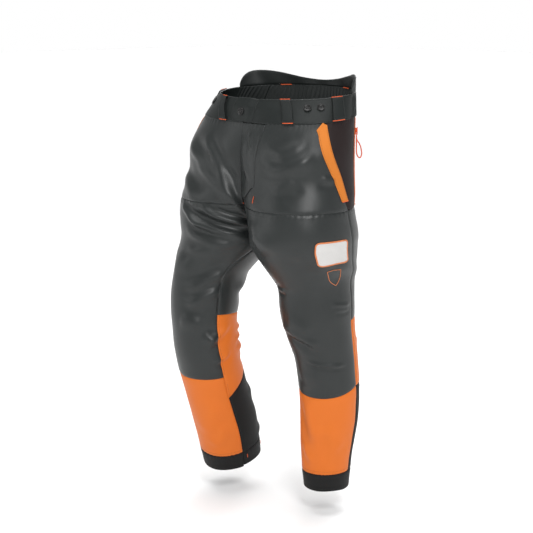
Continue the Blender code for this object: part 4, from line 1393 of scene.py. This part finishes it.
def quilting(s, u):
    rows = np.abs(np.sin(math.pi * (s - THIGH_SEAM) / QUILT))
    lanes = np.abs(np.sin(math.pi * u * TURN / QUILT))
    return -QUILT_DIP * (np.exp(-rows * 9) + np.exp(-lanes * 9))


def make_legs():
    """Each leg's panels, its pads behind them and its stitches."""
    for side, label in SIDES:
        hip, knee, shin = f"bend_hip_{label}", f"bend_knee_{label}", f"shin_{label}"
        front, back = (INSEAM, OUTSEAM), (OUTSEAM, INSEAM + 2)
        gaiter, calf = gaiter_top(side), calf_top(side)
        nodes = (f"upper_thigh_{label}", f"thigh_front_{label}")
        for name, body, edges, main, slot, replaced, seams, joins in (
            ("thigh_front", hip, (THIGH_SEAM, SPLIT, front_edge, OUTSEAM), CHARCOAL,
             "charcoal_fabric", nodes, "tlr", "f"),
            ("thigh_back", hip, (THIGH_SEAM, SPLIT, OUTSEAM, back_edge), CHARCOAL,
             "charcoal_fabric", None, "tflr", ""),
            ("knee_front", knee, (SPLIT, gaiter, *front), CHARCOAL, "charcoal_fabric", None, "flr",
             "t"),
            ("knee_back", knee, (SPLIT, calf, *back), ORANGE, "orange_fabric", None, "tflr", ""),
            ("gaiter", shin, (gaiter, HEM_SEAM, *front), ORANGE, "orange_fabric", None, "tflr", ""),
            ("calf", shin, (calf, HEM_SEAM, *back), BLACK, "black_stretch", None, "tflr", ""),
        ):
            cloth(f"{name}_cloth_{label}", body, side, *edges, main, slot,
                  replaced or f"{name}_{label}", seams=seams, joins=joins, inner=LINING)
        cloth(f"hem_band_cloth_{label}", shin, side, HEM_SEAM, hem_foot(side), INSEAM, INSEAM + 2,
              BLACK, "black_stretch", f"hem_band_{label}", lift=0.0004, thick=HEM_CLOTH,
              seams="tlr", inner=LINING, step=0.003)
        for name, body, ends, reach in (
            ("thigh", hip, (THIGH_SEAM + 0.015, SPLIT - 0.003), (-0.80, 0.06)),
            ("shin", knee, (SPLIT + 0.007, HEM_SEAM - 0.01), (-0.84, 0.04)),
        ):
            pad = cloth(f"cut_pad_{name}_{label}", body, side, *ends, *reach, PADDING, "cut_pad",
                        f"{name}_pad_{label}", lift=-PAD_DEPTH - 0.0010, thick=PAD, seams="",
                        shape=quilting, step=0.006)
        sew_leg(side, label)
    make_badge()
    make_shield()


def sew_leg(side, label):
    """The stitch lines and bar tacks of one leg."""
    hip, knee, shin = f"bend_hip_{label}", f"bend_knee_{label}", f"shin_{label}"
    outer = OUTSEAM + 0.016
    inner = np.linspace(0.45, SPLIT - 0.004, 14)
    lines = [
        (hip, [(s, outer) for s in np.linspace(THIGH_SEAM + 0.012, SPLIT - 0.004, 30)], 0.0),
        (hip, list(zip(inner, back_edge(inner) + 0.016)), 0.0),
    ]
    for u in (outer, INSEAM - 0.016):
        lines += [
            (knee, [(s, u) for s in np.linspace(SPLIT + 0.004, 0.736, 16)], 0.0),
            (shin, [(s, u) for s in np.linspace(0.765, HEM_SEAM - 0.003, 20)], 0.0),
        ]
    across = np.linspace(INSEAM + 0.012, OUTSEAM - 0.012, 30)
    behind = np.linspace(OUTSEAM + 0.02, INSEAM + 1.98, 30)
    around = np.linspace(INSEAM + 0.01, INSEAM + 1.99, 60)
    for nudge, lift in ((0.0040, -0.0009), (0.0095, 0.0)):
        lines += [
            (knee, list(zip(gaiter_top(side)(across) - nudge, across)), lift),
            (shin, list(zip(calf_top(side)(behind) + nudge, behind)), lift),
            (shin, [(HEM_SEAM - nudge, u) for u in around], lift),
        ]
    lines += [
        (hip, [(SPLIT - 0.0045, u) for u in behind], -0.0008),
        (shin, [(HEM - 0.009, u) for u in around], 0.0014),
    ]
    for body, line, lift in lines:
        sew(body, side, line, lift)
    for k, u in enumerate((INSEAM + 1.95, INSEAM + 1.67)):
        bartack(f"bartack_hem_{k}_{label}", shin, side, (0.996, u), (1.008, u), 0.0016, 0.0022)


def outline_bar(name, corners, lift, width, height):
    """An embroidered closed outline through (s, u) corners."""
    s, u = fill_in([*corners, corners[0]], 14)
    points, normals = cloth_points(LEFT, s, u, lift)
    ribbed_bar(name, "bend_hip_left", points, normals, width, height, THREAD_TRIM,
               0.0009)


def make_badge():
    """A plain woven patch with an overlocked border."""
    cloth("badge_patch", "bend_hip_left", LEFT, *BADGE_S, lambda s: BADGE_U - badge_half(s),
          lambda s: BADGE_U + badge_half(s), PATCH, "badge", "badge", lift=0.0020, thick=0.0010,
          seams="", step=0.003)
    middle, tall, wide = (BADGE_S[0] + BADGE_S[1]) / 2, 0.0295, 0.109
    corners = []
    for down, over in ((-1, 1), (1, 1), (1, -1), (-1, -1)):
        turns = np.linspace(0, math.pi / 2, 5)
        turns = turns if down * over < 0 else turns[::-1]
        corners += [(middle + down * (tall - 0.007 * (1 - math.cos(a))),
                     BADGE_U + over * (wide - 0.026 * (1 - math.sin(a)))) for a in turns]
    outline_bar("badge_border", corners, 0.0019, 0.0042, 0.0012)


def make_shield():
    """A plain shield, embroidered as an outline only."""
    top, foot = SHIELD_S
    corners = [(top + 0.002, SHIELD_U - SHIELD_HALF), (top, SHIELD_U),
               (top + 0.002, SHIELD_U + SHIELD_HALF)]
    shares = np.linspace(0, 1, 8)[1:]
    right = [(top + (foot - top) * (0.45 + 0.55 * k), SHIELD_U + SHIELD_HALF * (1 - k**2.2))
             for k in shares]
    left = [(s, 2 * SHIELD_U - u) for s, u in reversed(right[:-1])]
    outline_bar("shield_outline", [*corners, *right, *left], 0.0007, 0.0016, 0.0006)


# Stage ------------------------------------------------------------------------------------

CAMERA_AZIMUTH, CAMERA_DISTANCE, CAMERA_HEIGHT, CAMERA_AIM = 45.0, 3.3, 0.25, -0.435
CAMERA_LENS, SENSOR = 84.97, 36.0
FLOOR = -1.11
SKY = 0.36  # brightness of the surround overhead


def place_at(thing, place, aim):
    """Puts a camera or a light at a place, looking at another."""
    thing.location = place
    thing.rotation_euler = (Vector(aim) - Vector(place)).to_track_quat("-Z", "Y").to_euler()


def make_camera():
    data = bpy.data.cameras.new("camera")
    data.lens, data.sensor_width = CAMERA_LENS, SENSOR
    camera = new_object("camera", data)
    angle = math.radians(CAMERA_AZIMUTH)
    away = (math.sin(angle) * CAMERA_DISTANCE, -math.cos(angle) * CAMERA_DISTANCE, CAMERA_HEIGHT)
    place_at(camera, away, (0, 0, CAMERA_AIM))
    bpy.context.scene.camera = camera


def add_light(name, place, aim, size, power):
    data = bpy.data.lights.new(name, "AREA")
    data.energy, data.size = power, size
    place_at(new_object(name, data), place, aim)


def make_stage():
    """A white floor, a surround that is white at the horizon, and soft lights."""
    made = bmesh.new()
    bmesh.ops.create_grid(made, x_segments=2, y_segments=2, size=30.0)
    mesh = freed_mesh(made, "floor")
    floor = new_object("floor", mesh)
    floor.location.z = FLOOR
    material, _, shader = new_material("floor", 0.9, 0.1)
    shader.inputs["Base Color"].default_value = grey(0.92)
    mesh.materials.append(material)
    world = bpy.data.worlds.new("world")
    bpy.context.scene.world = world
    world.use_nodes = True
    tree = world.node_tree
    way = add_node(tree, "ShaderNodeSeparateXYZ")
    tree.links.new(add_node(tree, "ShaderNodeTexCoord").outputs["Generated"], way.inputs[0])
    height = math_node(tree, "ABSOLUTE", way.outputs["Z"], 0.0)
    ramp = mix_node(tree, height, grey(1.0), grey(SKY))
    ramp.node.color_ramp.elements[0].position = 0.05
    ramp.node.color_ramp.elements[1].position = 0.30
    tree.links.new(ramp, tree.nodes["Background"].inputs["Color"])
    sun = bpy.data.lights.new("overhead", "SUN")
    sun.energy, sun.angle = 2.3, math.radians(50)
    new_object("overhead", sun)
    add_light("key", (2.4, -1.5, 1.5), (0.05, 0, -0.35), 0.9, 62)
    add_light("fill", (-1.6, -3.0, 0.8), (0, 0, -0.5), 1.6, 16)
    add_light("back", (-1.4, 3.0, 1.2), (0, 0, -0.5), 1.6, 45)
    bpy.context.scene.view_settings.view_transform = "Standard"


make_camera()
make_vent_zips()
make_waistband()
make_belt_loops()
make_buttons()
make_hips()
make_fly_zip()
make_legs()
make_threads()
make_stage()
